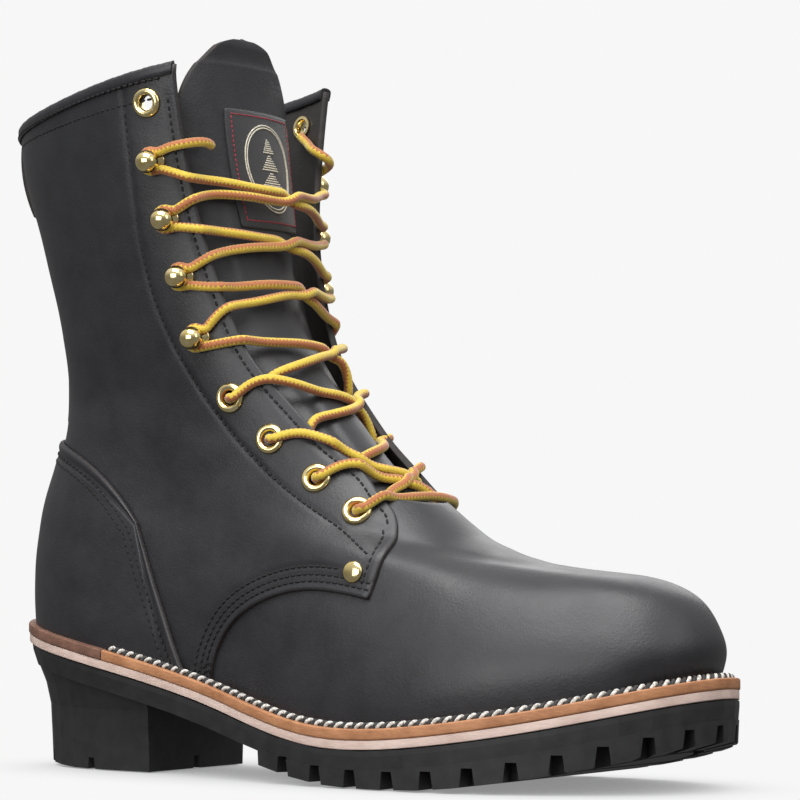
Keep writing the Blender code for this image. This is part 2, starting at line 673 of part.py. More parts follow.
# Hardware.
def build_hardware():
    flange = OVERLAY + 0.45
    inside = -SHAFT_WALL - 0.7
    barrel = HOLE_RADIUS - GAP
    bore = barrel - 0.7
    ring_profile = [(barrel, inside), (barrel, flange), (EYELET_RADIUS, flange), (EYELET_RADIUS - 1.3, flange + 1.2),
                    (bore, flange + 0.6), (bore, inside)]
    width, depth = HOOK_BALL
    hook_profile = [(0, flange), (4.4, flange), (4.2, flange + 1.0), (2.0, flange + 1.3), (2.0, flange + 3.6),
                    (width, flange + 3.6 + 0.5 * depth), (0.86 * width, flange + 3.6 + 1.2 * depth),
                    (0, flange + 3.6 + 1.65 * depth)]
    rivet_profile = [(0, flange), (RIVET_RADIUS, flange), (0.8 * RIVET_RADIUS, flange + 0.9), (0, flange + 1.4)]
    for side, word in ((-1, "outer"), (1, "inner")):
        for i, (ring, degrees) in enumerate(EYELETS):
            turned("eyelet_%s_%d" % (word, i + 1), BRASS, *spot(ring, side * degrees, 0), ring_profile, 8)
        for i, (ring, degrees) in enumerate(HOOKS):
            turned("hook_%s_%d" % (word, i + 1), BRASS, *spot(ring, side * degrees, 0), hook_profile, 8)
        turned("rivet_" + word, BRASS, *spot(RIVET[0], side * RIVET[1], 0), rivet_profile, 8)


# Laces.
def lace_route(points, mirror, count):
    points = np.asarray(points, float)
    keys = through(np.column_stack([points[:, 0] * 20, points[:, 1], points[:, 2]]), count)
    route = form(keys[:, 0] / 20, np.radians(keys[:, 1]), keys[:, 2])
    if mirror:
        route[:, 1] *= -1
    return route


def round_run(name, mesh_material, route, radius, sides):
    sections = []
    run = np.gradient(route, axis=0)
    for point, along in zip(route, run):
        along = Vector(along).normalized()
        side = along.cross(Vector((0.3, 0.1, 1))).normalized()
        up = side.cross(along)
        sections.append([np.array(Vector(point) + radius * (math.cos(a) * side + math.sin(a) * up))
                         for a in (2 * math.pi * (i + 0.5) / sides for i in range(sides))])
    return tube(name, mesh_material, sections)


def build_laces():
    round_run("lace_bar", LACE_CLOTH, lace_route(LACE_BAR, False, 10), LACE_RADIUS, 5)
    for i, points in enumerate(CROSSINGS):
        first = round_run("lace_cross_%d" % (i + 1), LACE_CLOTH, lace_route(points, False, 10), LACE_RADIUS, 5)
        second = round_run("strand_%d" % (i + 1), LACE_CLOTH, lace_route(points, True, 10), LACE_RADIUS, 5)
        boolean(first, "UNION", second)
    for name, points in LACE_ENDS.items():
        path = bpy.data.curves.new(name, "CURVE")
        path.dimensions = "3D"
        path.bevel_depth = LACE_RADIUS * MM
        path.bevel_resolution = 2
        path.use_fill_caps = True
        route = lace_route(points, False, 2 * len(points) + 1)
        line = path.splines.new("POLY")
        line.points.add(len(route) - 1)
        for slot, point in zip(line.points, route):
            slot.co = (*place(point), 1)
        path.materials.append(LACE_CLOTH)
        bpy.context.scene.collection.objects.link(bpy.data.objects.new(name, path))


build_welt()
build_midsole()
build_insole()
build_outsole()
build_upper()
build_counter()
build_back_stay()
build_collar()
build_tongue()
build_hardware()
build_laces()
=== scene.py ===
# Logger boot for the right foot: leather, laces, brass and sole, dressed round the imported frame.
# Lengths in the settings are millimetres from the back of the welt; toMetres moves them into the frame.
import math

import bmesh
import bpy
import numpy as np
from mathutils import Matrix, Vector
from mathutils.kdtree import KDTree


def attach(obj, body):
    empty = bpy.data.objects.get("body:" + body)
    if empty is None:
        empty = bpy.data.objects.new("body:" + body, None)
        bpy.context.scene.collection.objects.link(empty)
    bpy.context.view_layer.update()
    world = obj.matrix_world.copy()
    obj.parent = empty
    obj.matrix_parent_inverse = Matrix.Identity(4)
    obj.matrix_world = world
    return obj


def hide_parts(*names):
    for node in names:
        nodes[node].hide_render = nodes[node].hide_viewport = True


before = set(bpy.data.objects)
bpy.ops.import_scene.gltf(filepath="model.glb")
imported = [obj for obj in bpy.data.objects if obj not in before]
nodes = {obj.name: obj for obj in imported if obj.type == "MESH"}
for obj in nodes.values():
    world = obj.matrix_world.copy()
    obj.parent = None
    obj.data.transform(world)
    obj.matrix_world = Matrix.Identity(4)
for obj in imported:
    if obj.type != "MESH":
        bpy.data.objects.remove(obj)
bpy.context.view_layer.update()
mm = 0.001
middle = np.array([154.2, 0.0, 0.0])
print("frame loaded")


def toMetres(points):
    return (np.asarray(points, float) - middle) * mm


def unit(vectors):
    return vectors / np.linalg.norm(vectors, axis=-1, keepdims=True)


def distances(points):
    # how far along the line each of its points lies
    return np.concatenate([[0], np.cumsum(np.linalg.norm(np.diff(points, axis=0), axis=1))])


def sample(points, run, at):
    # the line's points at other distances along it
    return np.stack([np.interp(at, run, column) for column in np.asarray(points).T], -1)


# The camera stands where the photographer's did, a little below the ankle and looking slightly up.
view = {"place": (923.2, -1064.2, 93.6), "azimuth": 35.002, "elevation": -2.27, "lens": 151.83}


def addCamera():
    a, e = math.radians(view["azimuth"]), math.radians(view["elevation"])
    back = Vector((math.sin(a) * math.cos(e), -math.cos(a) * math.cos(e), math.sin(e)))
    right = Vector((math.cos(a), math.sin(a), 0))
    turn = Matrix((right, back.cross(right), back)).transposed().to_4x4()
    camera = bpy.data.objects.new("photoCamera", bpy.data.cameras.new("photoCamera"))
    bpy.context.scene.collection.objects.link(camera)
    camera.matrix_world = Matrix.Translation(toMetres(view["place"])) @ turn
    camera.data.lens = view["lens"]
    camera.data.sensor_width = 36
    camera.data.clip_start = 0.05
    bpy.context.scene.camera = camera


addCamera()

# The last that the boot is lasted over. Each ring is a closed section through a back and a top point;
# dip bends it down to the welt, sway gives the inward curve, w0 to w5 are half widths from back to front.
last = {
    "length": 314.7,
    "outline": [  # share of the length, centre line, half width
        (0.00, 0.0, 69.0), (0.12, 0.0, 57.5), (0.35, -3.3, 41.5), (0.50, -7.0, 45.0),
        (0.66, -2.4, 56.0), (0.80, 3.6, 66.8), (0.92, 9.0, 75.0), (1.00, 10.4, 85.0)],
    "weltLine": [  # share of the length, height of the welt's top
        (0.00, 59.2), (0.20, 47.8), (0.40, 33.4), (0.55, 22.8), (0.70, 23.6), (0.85, 30.7), (1.00, 41.4)],
    "rings": [  # backX, backZ, topX, topZ, dip, sway, w0, w1, w2, w3, w4, w5
        (6.5, 59.5, 306.5, 41.7, 1, 1, 62, 38, 36.5, 53, 64, 80),
        (6, 68, 310, 51, 0.9, 1, 63, 39, 37, 54, 64, 78),
        (6, 77, 308.5, 60, 0.72, 1, 63, 39, 36.5, 51.5, 60, 70),
        (6.5, 86, 303.6, 68.9, 0.5, 1, 62, 39, 35.5, 46, 53, 63),
        (8, 95, 294.4, 75.7, 0.3, 0.9, 61, 38.5, 34, 40, 44, 58),
        (10, 103.5, 278, 79.8, 0.15, 0.8, 60, 38, 33, 36, 32, 44),
        (13, 112, 256, 80, 0, 0.7, 58, 37, 32, 34.5, 29, 26),
        (16.5, 120.5, 236, 84.5, 0, 0.6, 56, 36.5, 31.5, 33.5, 32, 30),
        (19.5, 129.5, 217, 91.5, 0, 0.5, 54, 36, 31.5, 33, 36, 38),
        (21.5, 139, 200, 103.5, 0, 0.4, 51, 35.5, 32, 32, 34.5, 37),
        (22, 149.5, 185, 116, 0, 0.3, 49, 35.5, 32.5, 32.5, 34, 36),
        (21.5, 161, 170, 133, 0, 0.2, 47, 35.5, 33.5, 34.5, 35.5, 37),
        (20, 173, 155, 151, 0, 0.1, 46, 36.5, 35.5, 37.5, 39, 41),
        (17, 187, 142, 169, 0, 0, 46, 38, 38, 41.5, 44, 46),
        (13, 202, 133, 190, 0, 0, 47, 40, 41, 45.5, 49, 51),
        (8, 219, 130, 215, 0, 0, 48, 43, 44.5, 49.5, 52.5, 55),
        (1.5, 238, 132, 245, 0, 0, 50, 46, 48.5, 54, 57.5, 60),
        (-1, 256.5, 139, 283, 0, 0, 52, 49, 52, 58.5, 62, 64)],
    "widthShares": (0.0, 0.25, 0.5, 0.75, 0.9, 1.0),
    "gap": 0.3, "seamLift": 1.6}
topRing = len(last["rings"]) - 1


def spline(knots, values, x):
    # natural cubic curve through the values, held flat past both ends
    knots = np.asarray(knots, float)
    values = np.asarray(values, float)
    count = len(knots)
    step = np.diff(knots)
    matrix = np.eye(count)
    bend = np.zeros(values.shape)
    for i in range(1, count - 1):
        matrix[i, i - 1:i + 2] = step[i - 1], 2 * (step[i - 1] + step[i]), step[i]
        bend[i] = 6 * ((values[i + 1] - values[i]) / step[i] - (values[i] - values[i - 1]) / step[i - 1])
    bend = np.linalg.solve(matrix, bend)
    x = np.clip(np.asarray(x, float), knots[0], knots[-1])
    i = np.clip(np.searchsorted(knots, x) - 1, 0, count - 2)
    after, before, h = x - knots[i], knots[i + 1] - x, step[i]
    if values.ndim > 1:
        after, before, h = after[..., None], before[..., None], h[..., None]
    curve = (bend[i] * before ** 3 + bend[i + 1] * after ** 3) / (6 * h)
    curve += (values[i] / h - bend[i] * h / 6) * before
    return curve + (values[i + 1] / h - bend[i + 1] * h / 6) * after


def evenly(points, count):
    run = distances(points)
    return sample(points, run, np.linspace(0, run[-1], count))


def through(points, count):
    # smooth curve through a few points, evenly spaced along it
    points = np.asarray(points, float)
    run = distances(points)
    return evenly(spline(run, points, np.linspace(0, run[-1], 8 * len(points))), count)


def tableColumn(name, index):
    return [row[index] for row in last[name]]


def centreLine(x):
    return spline(tableColumn("outline", 0), tableColumn("outline", 1), np.asarray(x) / last["length"])


def weltTop(x):
    return spline(tableColumn("weltLine", 0), tableColumn("weltLine", 1), np.asarray(x) / last["length"])


def soleEdge(angle, inset):
    # plan point on the sole's outline: angle 0 is the toe, pi the heel, +Y is positive
    def edge(a):
        share = (1 + np.cos(a)) / 2
        half = spline(tableColumn("outline", 0), tableColumn("outline", 2), share)
        return np.stack([last["length"] * share, centreLine(last["length"] * share) + half * np.sin(a)], -1)
    angle = np.asarray(angle, float)
    run = unit(edge(angle + 0.002) - edge(angle - 0.002))
    inward = np.stack([-run[..., 1], run[..., 0]], -1)
    return edge(angle) + np.asarray(inset, float)[..., None] * inward


def lastBase(ring, angle):
    row = spline(range(len(last["rings"])), last["rings"], ring)
    share = (1 + np.cos(angle)) / 2
    x = row[..., 0] + share * (row[..., 2] - row[..., 0])
    line = row[..., 1] + share * (row[..., 3] - row[..., 1])
    first = last["rings"][0]
    foot = first[1] + (x - first[0]) / (first[2] - first[0]) * (first[3] - first[1])
    z = line + row[..., 4] * (weltTop(x) + last["gap"] - foot)
    table = spline(last["widthShares"], np.eye(len(last["widthShares"])), share)
    y = row[..., 5] * centreLine(x) + (table * row[..., 6:]).sum(-1) * np.sin(angle)
    return np.stack([x, y, z], -1)


def lastNormal(ring, angle):
    low, high = np.clip(ring - 0.05, 0, topRing), np.clip(ring + 0.05, 0, topRing)
    along = lastBase(high, angle) - lastBase(low, angle)
    across = lastBase(ring, angle + 0.01) - lastBase(ring, angle - 0.01)
    return unit(np.cross(across, along))


def onLast(ring, angle, lift):
    ring = np.asarray(ring, float)
    angle = np.asarray(angle, float)
    lift = np.broadcast_to(np.asarray(lift, float), ring.shape)
    return lastBase(ring, angle) + lift[..., None] * lastNormal(ring, angle)


def spot(ring, degrees, lift=0.0):
    # one point on the last and the way out of it
    angle = math.radians(degrees)
    return onLast(ring, angle, lift), lastNormal(np.asarray(float(ring)), np.asarray(angle))


# How places on the last are found: a coarse grid first, then small steps that close in on the point.
search = {"rings": 70, "angles": 60, "turns": 18, "mendTurn": 9, "stray": 0.35,
          "ringStep": 0.02, "angleStep": 0.004, "ringMove": 0.6, "angleMove": 0.2}


def mendStrays(found):
    # a point that went astray goes back between its neighbours
    window = np.stack([np.roll(found, shift, axis=0) for shift in range(-3, 4)])
    usual = np.median(window, axis=0)
    usual[:3], usual[-3:] = found[:3], found[-3:]
    stray = np.abs(found - usual).max(1) > search["stray"]
    found[stray] = usual[stray]


def locate(sideView, side, lift=last["seamLift"]):
    # ring and angle where points of the side view lie on one side of the last
    target = np.asarray(sideView, float)
    rings, angles = np.meshgrid(np.linspace(0, topRing, search["rings"]),
                                np.radians(np.linspace(4, 176, search["angles"])), indexing="ij")
    coarse = onLast(rings, side * angles, lift)
    nearest = [np.argmin((coarse[..., 0] - x) ** 2 + (coarse[..., 2] - z) ** 2) for x, z in target]
    found = np.stack([rings.flat[nearest], side * angles.flat[nearest]], -1)

    def seen(ring, angle):
        return onLast(np.clip(ring, 0, topRing), angle, lift)[:, [0, 2]]
    for turn in range(search["turns"]):
        if turn == search["mendTurn"] and len(found) > 6:
            mendStrays(found)
        ring, angle = found.T
        here = seen(ring, angle)
        byRing = (seen(ring + search["ringStep"], angle) - here) / search["ringStep"]
        byAngle = (seen(ring, angle + search["angleStep"]) - here) / search["angleStep"]
        miss = target - here
        cross = byRing[:, 0] * byAngle[:, 1] - byRing[:, 1] * byAngle[:, 0]
        cross = np.where(np.abs(cross) < 1e-6, 1e-6, cross)
        moveRing = (miss[:, 0] * byAngle[:, 1] - miss[:, 1] * byAngle[:, 0]) / cross
        moveAngle = (byRing[:, 0] * miss[:, 1] - byRing[:, 1] * miss[:, 0]) / cross
        moveRing = np.clip(moveRing, -search["ringMove"], search["ringMove"])
        moveAngle = np.clip(moveAngle, -search["angleMove"], search["angleMove"])
        found = np.stack([np.clip(ring + moveRing, 0, topRing), angle + moveAngle], -1)
    return found


def beside(sideView, side, distance, lift=last["seamLift"]):
    # the same line moved over the leather, to the right of its run as seen from outside
    ring, angle = locate(sideView, side, lift).T
    points = onLast(ring, angle, lift)
    across = np.cross(unit(np.gradient(points, axis=0)), lastNormal(ring, angle))
    return (points + distance * across)[:, [0, 2]]


# Side-view lines of the upper, each running upwards or backwards.
lines = {
    "facingEdge": [(194.5, 97.5), (191.8, 101.8), (187, 106), (178, 115), (161, 128.5), (146, 143),
                   (128.5, 163), (117.5, 188), (111, 212), (107.5, 240), (106.5, 262), (106.5, 278)],
    "quarterFront": [(193, 69.8), (196, 82), (196.4, 91), (194.5, 97.5)],
    "quarterSweep": [(193, 69.8), (167, 73), (142, 68), (123.5, 56), (115.5, 40), (113, 25.5)],
    "outerRow": [(190.5, 86), (176, 95), (157, 105.5), (133, 122.5), (112, 144.5), (96.5, 168.5), (89.5, 187),
                 (86, 208), (85, 235), (84, 258), (83.5, 276)],
    "counterEdge": [(108, 27), (98, 49), (89, 70), (77, 98)],
    "counterTop": [(77, 98), (57, 116.6), (38, 126.5), (22, 131.2)],
    "seamFront": [(189.5, 74.5), (192, 83), (192.2, 91), (190.3, 96)],
    "rim": 16.95}


# Materials. Every colour is an sRGB hex value.
def colour(hexValue):
    parts = [int(hexValue[i:i + 2], 16) / 255 for i in (1, 3, 5)]
    return [p / 12.92 if p <= 0.04045 else ((p + 0.055) / 1.055) ** 2.4 for p in parts] + [1.0]


def addNode(tree, kind, settings=None, links=None):
    node = tree.nodes.new(kind)
    for key, value in (settings or {}).items():
        if isinstance(key, int) or key in node.inputs:
            node.inputs[key].default_value = value
        else:
            setattr(node, key, value)
    for key, source in (links or {}).items():
        tree.links.new(source, node.inputs[key])
    return node


def newMaterial(name, base, roughness, metallic=0.0, **sockets):
    made = bpy.data.materials.new(name)
    made.use_nodes = True
    shader = made.node_tree.nodes["Principled BSDF"]
    shader.inputs["Base Color"].default_value = colour(base)
    shader.inputs["Roughness"].default_value = roughness
    shader.inputs["Metallic"].default_value = metallic
    for key, value in sockets.items():
        shader.inputs[key.replace("_", " ")].default_value = value
    return made, made.node_tree, shader


def ramp(tree, source, stops):
    node = addNode(tree, "ShaderNodeValToRGB", links={"Fac": source})
    elements = node.color_ramp.elements
    while len(elements) < len(stops):
        elements.new(0.5)
    for element, (position, value) in zip(elements, stops):
        element.position = position
        element.color = colour(value) if isinstance(value, str) else (value, value, value, 1)
    return node


def objectSpace(tree, size, high=None):
    # Object coordinates in metres, scaled so that one unit is the given number of millimetres
    place = addNode(tree, "ShaderNodeTexCoord")
    scale = 1 / (size * mm)
    return addNode(tree, "ShaderNodeMapping", {"Scale": (scale, scale, 1 / ((high or size) * mm))},
                   {"Vector": place.outputs["Object"]}).outputs["Vector"]


def bump(tree, shader, height, distance, strength=1.0, before=None):
    links = {"Height": height}
    if before:
        links["Normal"] = before.outputs["Normal"]
    node = addNode(tree, "ShaderNodeBump", {"Distance": distance * mm, "Strength": strength}, links)
    tree.links.new(node.outputs["Normal"], shader.inputs["Normal"])
    return node


def calculate(tree, operation, *values):
    # a sum of numbers and other nodes' outputs
    numbers = {i: value for i, value in enumerate(values) if isinstance(value, (int, float))}
    sources = {i: value for i, value in enumerate(values) if i not in numbers}
    return addNode(tree, "ShaderNodeMath", {"operation": operation, **numbers}, sources).outputs[0]


def noise(tree, size, detail, roughness=0.5, high=None):
    # cloudy noise with features of about the given number of millimetres
    return addNode(tree, "ShaderNodeTexNoise", {"Scale": 1.0, "Detail": detail, "Roughness": roughness},
                   {"Vector": objectSpace(tree, size, high)}).outputs["Fac"]


def drive(tree, socket, source, stops):
    tree.links.new(ramp(tree, source, stops).outputs["Color"], socket)


def oiledLeather(name, base, pale, roughness, grain=0.75):
    # full-grain cow leather, dyed black and oiled: fine pebbled grain, soft grey sheen, uneven oil
    made, tree, shader = newMaterial(name, base, roughness, Coat_Weight=0.12, Coat_Roughness=0.35)
    cloud = noise(tree, 14, 4.0, 0.6)
    drive(tree, shader.inputs["Base Color"], cloud, [(0.3, base), (0.72, pale)])
    drive(tree, shader.inputs["Roughness"], cloud, [(0.25, roughness - 0.05), (0.75, roughness + 0.07)])
    pebble = addNode(tree, "ShaderNodeTexVoronoi", {"feature": "SMOOTH_F1", "Scale": 1.0, "Smoothness": 0.6},
                     {"Vector": objectSpace(tree, grain)})
    pebbled = bump(tree, shader, pebble.outputs["Distance"], 0.07, 0.6)
    pored = bump(tree, shader, noise(tree, 0.9, 5.0), 0.14, 0.6, pebbled)
    bump(tree, shader, noise(tree, 9, 2.0), 0.4, 0.5, pored)
    return made


def layeredEdge(name, base, deep, roughness, layer):
    # stacked and trimmed veg-tan leather: pale fibres with darker glue lines and sanding marks
    made, tree, shader = newMaterial(name, base, roughness)
    fibre = noise(tree, 4.0, 6.0, 0.7, high=0.7)
    both = addNode(tree, "ShaderNodeMix", {"data_type": "FLOAT", 0: 0.45},
                   {2: noise(tree, layer, 3.0), 3: fibre})
    drive(tree, shader.inputs["Base Color"], both.outputs[0], [(0.3, deep), (0.62, base)])
    bump(tree, shader, fibre, 0.25, 0.6)
    return made


def mouldedRubber():
    # carbon-black rubber from a mould: matt, faintly grained, slightly dusty
    made, tree, shader = newMaterial("mouldedRubber", "#1a1a1b", 0.62)
    drive(tree, shader.inputs["Base Color"], noise(tree, 6, 5.0), [(0.35, "#161617"), (0.7, "#222223")])
    bump(tree, shader, noise(tree, 0.6, 3.0), 0.08, 0.5)
    return made


def polishedBrass():
    # spun and polished brass with a pale lacquer: sharp warm reflections, faint wear
    made, tree, shader = newMaterial("polishedBrass", "#e8d398", 0.12, 1.0)
    wear = noise(tree, 2.5, 4.0)
    drive(tree, shader.inputs["Roughness"], wear, [(0.3, 0.08), (0.7, 0.17)])
    drive(tree, shader.inputs["Base Color"], wear, [(0.3, "#e2c981"), (0.7, "#f0dfae")])
    return made


def spunThread(name, base, deep, strand=0.7):
    # waxed polyester thread: twisted strands with a dull shine
    made, tree, shader = newMaterial(name, base, 0.75)
    wave = noise(tree, strand, 2.0)
    drive(tree, shader.inputs["Base Color"], wave, [(0.35, deep), (0.6, base)])
    bump(tree, shader, wave, 0.15, 0.6)
    return made


# Round braid: rust-brown stripes down a yellow lace, meeting in a row of teeth. The mesh's own sizes follow.
braid = {"yellow": "#d9bd3c", "yellowDeep": "#a98a22", "brown": "#b06a3a", "brownDeep": "#80451f",
         "tooth": 1.65, "radius": 1.85, "step": 0.55, "swell": 0.03, "sides": 14, "turn": 0.006,
         "stripe": (0.45, -0.50, 0.74)}


def braidedLace():
    # polyester braid over a core; the teeth are 1.65 mm apart as in the photo
    made, tree, shader = newMaterial("braidedLace", braid["yellow"], 0.7, Sheen_Weight=0.3)
    place = addNode(tree, "ShaderNodeUVMap", {"uv_map": "UVMap"})
    split = addNode(tree, "ShaderNodeSeparateXYZ", links={"Vector": place.outputs["UV"]})
    tooth = calculate(tree, "PINGPONG", split.outputs["X"], 0.5)
    around = calculate(tree, "PINGPONG", split.outputs["Y"], 0.25)
    edge = calculate(tree, "MULTIPLY_ADD", tooth, 0.20, 0.075)
    isBrown = ramp(tree, calculate(tree, "SUBTRACT", edge, around), [(0.0, 0.0), (0.03, 1.0)])
    fibre = noise(tree, 0.35, 3.0)
    yellow = ramp(tree, fibre, [(0.3, braid["yellowDeep"]), (0.6, braid["yellow"])])
    brown = ramp(tree, fibre, [(0.3, braid["brownDeep"]), (0.6, braid["brown"])])
    tone = addNode(tree, "ShaderNodeMix", {"data_type": "RGBA"},
                   {0: isBrown.outputs["Color"], 6: yellow.outputs["Color"], 7: brown.outputs["Color"]})
    tree.links.new(tone.outputs[2], shader.inputs["Base Color"])
    bump(tree, shader, fibre, 0.12, 0.6)
    return made


def wovenSatin(name, base, pale, thread=0.35):
    # woven polyester satin: fine crossing threads with a low shine
    made, tree, shader = newMaterial(name, base, 0.5, Sheen_Weight=0.2)
    space = objectSpace(tree, thread)
    warp, weft = [addNode(tree, "ShaderNodeTexWave", {"Scale": 0.5, "bands_direction": way},
                          {"Vector": space}) for way in ("Y", "Z")]
    both = calculate(tree, "MULTIPLY", warp.outputs["Fac"], weft.outputs["Fac"])
    drive(tree, shader.inputs["Base Color"], both, [(0.1, base), (0.8, pale)])
    bump(tree, shader, both, 0.08, 0.5)
    return made


materials = {
    "leather": oiledLeather("oiledBlackLeather", "#1b1b1e", "#242428", 0.45),
    "lining": oiledLeather("liningLeather", "#1b1918", "#262321", 0.62, 1.1),
    "cutEdge": layeredEdge("leatherCutEdge", "#2b2624", "#171514", 0.7, 3),
    "welt": layeredEdge("weltLeather", "#b9825a", "#8a5836", 0.62, 9),
    "midsole": layeredEdge("midsoleLeather", "#d9c2b7", "#b89e92", 0.68, 12),
    "rand": layeredEdge("heelRandLeather", "#7d5847", "#553a2e", 0.62, 7),
    "rubber": mouldedRubber(),
    "brass": polishedBrass(),
    "lace": braidedLace(),
    "blackThread": spunThread("blackThread", "#0f0f10", "#070708"),
    "whiteThread": spunThread("weltThreadPale", "#d8d5cf", "#9b978f", 0.9),
    "darkThread": spunThread("weltThreadDark", "#3a3836", "#1d1c1b", 0.9),
    "redThread": spunThread("labelThreadRed", "#a8323c", "#741d27", 0.4),
    "creamThread": spunThread("labelThreadCream", "#d9d3c4", "#aba48f", 0.5),
    "goldThread": spunThread("labelThreadGold", "#b0935a", "#7d6536", 0.5),
    "satin": wovenSatin("labelSatin", "#1b1b1e", "#2b2b30")}
print("materials ready")

# Mesh helpers. Faces are rows of vertex numbers; a piece is closed and its normals point outward.
scattered = np.random.default_rng(7)


def meshObject(name, vertices, faces):
    data = bpy.data.meshes.new(name)
    data.from_pydata(toMetres(vertices).tolist(), [], [tuple(int(i) for i in face) for face in faces])
    made = bpy.data.objects.new(name, data)
    bpy.context.scene.collection.objects.link(made)
    return made


def faceOutward(data):
    work = bmesh.new()
    work.from_mesh(data)
    bmesh.ops.recalc_face_normals(work, faces=work.faces)
    work.to_mesh(data)
    work.free()
    data.update()


def selectOnly(piece):
    bpy.ops.object.select_all(action="DESELECT")
    piece.select_set(True)
    bpy.context.view_layer.objects.active = piece


def addPiece(name, vertices, faces, finish, stands=(), bands=None, uvs=None, keen=None):
    # bands gives each face its finish; keen is the angle in degrees above which an edge stays sharp
    piece = meshObject(name, vertices, faces)
    data = piece.data
    for each in finish if isinstance(finish, list) else [finish]:
        data.materials.append(materials[each])
    if bands is not None:
        data.polygons.foreach_set("material_index", bands)
    if uvs is not None:
        data.uv_layers.new(name="UVMap").data.foreach_set("uv", np.asarray(uvs, float).ravel())
    faceOutward(data)
    selectOnly(piece)
    if keen is None:
        bpy.ops.object.shade_smooth()
    else:
        bpy.ops.object.shade_smooth_by_angle(angle=math.radians(keen))
    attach(piece, "root")
    if stands:
        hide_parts(*stands)
    return piece


def quads(rows, columns, start=0, wrap=False):
    # faces between the rows of a grid of vertices
    row, column = np.meshgrid(np.arange(rows - 1), np.arange(columns if wrap else columns - 1), indexing="ij")
    after = (column + 1) % columns
    corners = [(row, column), (row, after), (row + 1, after), (row + 1, column)]
    return start + np.stack([(r * columns + c).ravel() for r, c in corners], -1)


def rodFaces(rows, sides):
    # the sides of a rod and its two ends
    faces = [list(face) for face in quads(rows, sides, wrap=True)]
    return faces + [list(range(sides)), list(range((rows - 1) * sides, rows * sides))]


def closedSheet(outer, inner, bulge=0.5, steps=3):
    # two grids joined by a rounded border; the third value says which faces are outer, inner and border
    rows, columns = outer.shape[:2]
    number = np.arange(rows * columns).reshape(rows, columns)
    loop = np.concatenate([number[0, :-1], number[:-1, -1], number[-1, :0:-1], number[:0:-1, 0]])
    within = np.concatenate([number[1, :-1], number[:-1, -2], number[-2, :0:-1], number[:0:-1, 1]])
    flatOuter, flatInner = outer.reshape(-1, 3), inner.reshape(-1, 3)
    out = flatOuter[loop] - flatOuter[within]
    out /= np.linalg.norm(out, axis=1, keepdims=True) + 1e-9
    half = (flatOuter[loop] - flatInner[loop]) / 2
    thick = np.linalg.norm(half, axis=1, keepdims=True)
    vertices = [flatOuter, flatInner]
    faces = [quads(rows, columns), quads(rows, columns, rows * columns)[:, ::-1]]
    rings = [loop]
    for k in range(1, steps + 1):
        turn = math.pi * k / (steps + 1)
        centre = (flatOuter[loop] + flatInner[loop]) / 2
        vertices.append(centre + half * math.cos(turn) + out * thick * bulge * math.sin(turn))
        rings.append(2 * rows * columns + (k - 1) * len(loop) + np.arange(len(loop)))
    rings.append(loop + rows * columns)
    for upper, lower in zip(rings, rings[1:]):
        faces.append(np.stack([upper, lower, np.roll(lower, -1), np.roll(upper, -1)], -1))
    kinds = [0] * len(faces[0]) + [1] * len(faces[1]) + [2] * (sum(len(f) for f in faces[2:]))
    return np.concatenate(vertices), np.concatenate(faces), kinds


def addPanel(name, outer, inner, bulge, stands=(), steps=3):
    # a leather panel: the finished side out, the lining in, and a cut edge between them
    vertices, faces, kinds = closedSheet(outer, inner, bulge, steps)
    return addPiece(name, vertices, faces, ["leather", "lining", "cutEdge"], stands, kinds)


def patch(bottom, top, left, right, rows, columns):
    # Coons patch between four lines of (ring, angle) that run the same way in pairs
    bottom, top = evenly(bottom, columns), evenly(top, columns)
    left, right = evenly(left, rows), evenly(right, rows)
    s = np.linspace(0, 1, columns)[None, :, None]
    t = np.linspace(0, 1, rows)[:, None, None]
    ruled = (1 - t) * bottom[None] + t * top[None] + (1 - s) * left[:, None] + s * right[:, None]
    corners = (1 - t) * ((1 - s) * bottom[0] + s * bottom[-1]) + t * ((1 - s) * top[0] + s * top[-1])
    grid = ruled - corners
    return np.clip(grid[..., 0], 0, topRing), grid[..., 1]


def tube(path, radius, sides, pitch=1.0, upright=None, twist=0.0):
    # round tube with domed ends; its UV runs in pitches along and once round from the upright side
    path = np.asarray(path, float)
    run = unit(np.gradient(path, axis=0))
    side = np.zeros_like(path)
    for i, way in enumerate(run):
        hint = side[i - 1] if upright is None and i else np.array(upright or (0, 0, 1), float)
        across = hint - np.dot(hint, way) * way
        if np.linalg.norm(across) < 1e-3:
            across = side[i - 1] if i else np.cross(way, (1, 0, 0))
        side[i] = unit(across)
    dome = np.radians([80, 55, 28])
    bow = np.concatenate([-dome, np.zeros(len(path)), dome[::-1]])
    order = np.concatenate([[0] * len(dome), np.arange(len(path)), [-1] * len(dome)])
    radii = np.broadcast_to(radius, len(path))[order]
    along = distances(path)[order] + radii * np.sin(bow)
    path, run, side = path[order] + (radii * np.sin(bow))[:, None] * run[order], run[order], side[order]
    angle = np.linspace(0, 2 * math.pi, sides, endpoint=False) + twist * along[:, None]
    ring = side[:, None] * np.cos(angle)[..., None] + np.cross(run, side)[:, None] * np.sin(angle)[..., None]
    vertices = (path[:, None] + (radii * np.cos(bow))[:, None, None] * ring).reshape(-1, 3)
    at, shares = along / pitch, np.arange(sides + 1) / sides
    uvs = []
    for low, high in zip(at, at[1:]):
        for start, end in zip(shares, shares[1:]):
            uvs += [(low, start), (low, end), (high, end), (high, start)]
    uvs += [(tip, start) for tip in (at[0], at[-1]) for start in shares[:-1]]
    return vertices, rodFaces(len(path), sides), uvs


def joined(parts):
    # several (vertices, faces, uvs) as one
    vertices, faces, uvs, start = [], [], [], 0
    for points, rows, marks in parts:
        vertices.append(points)
        faces += [[start + i for i in row] for row in rows]
        uvs += list(marks)
        start += len(points)
    return np.concatenate(vertices), faces, uvs


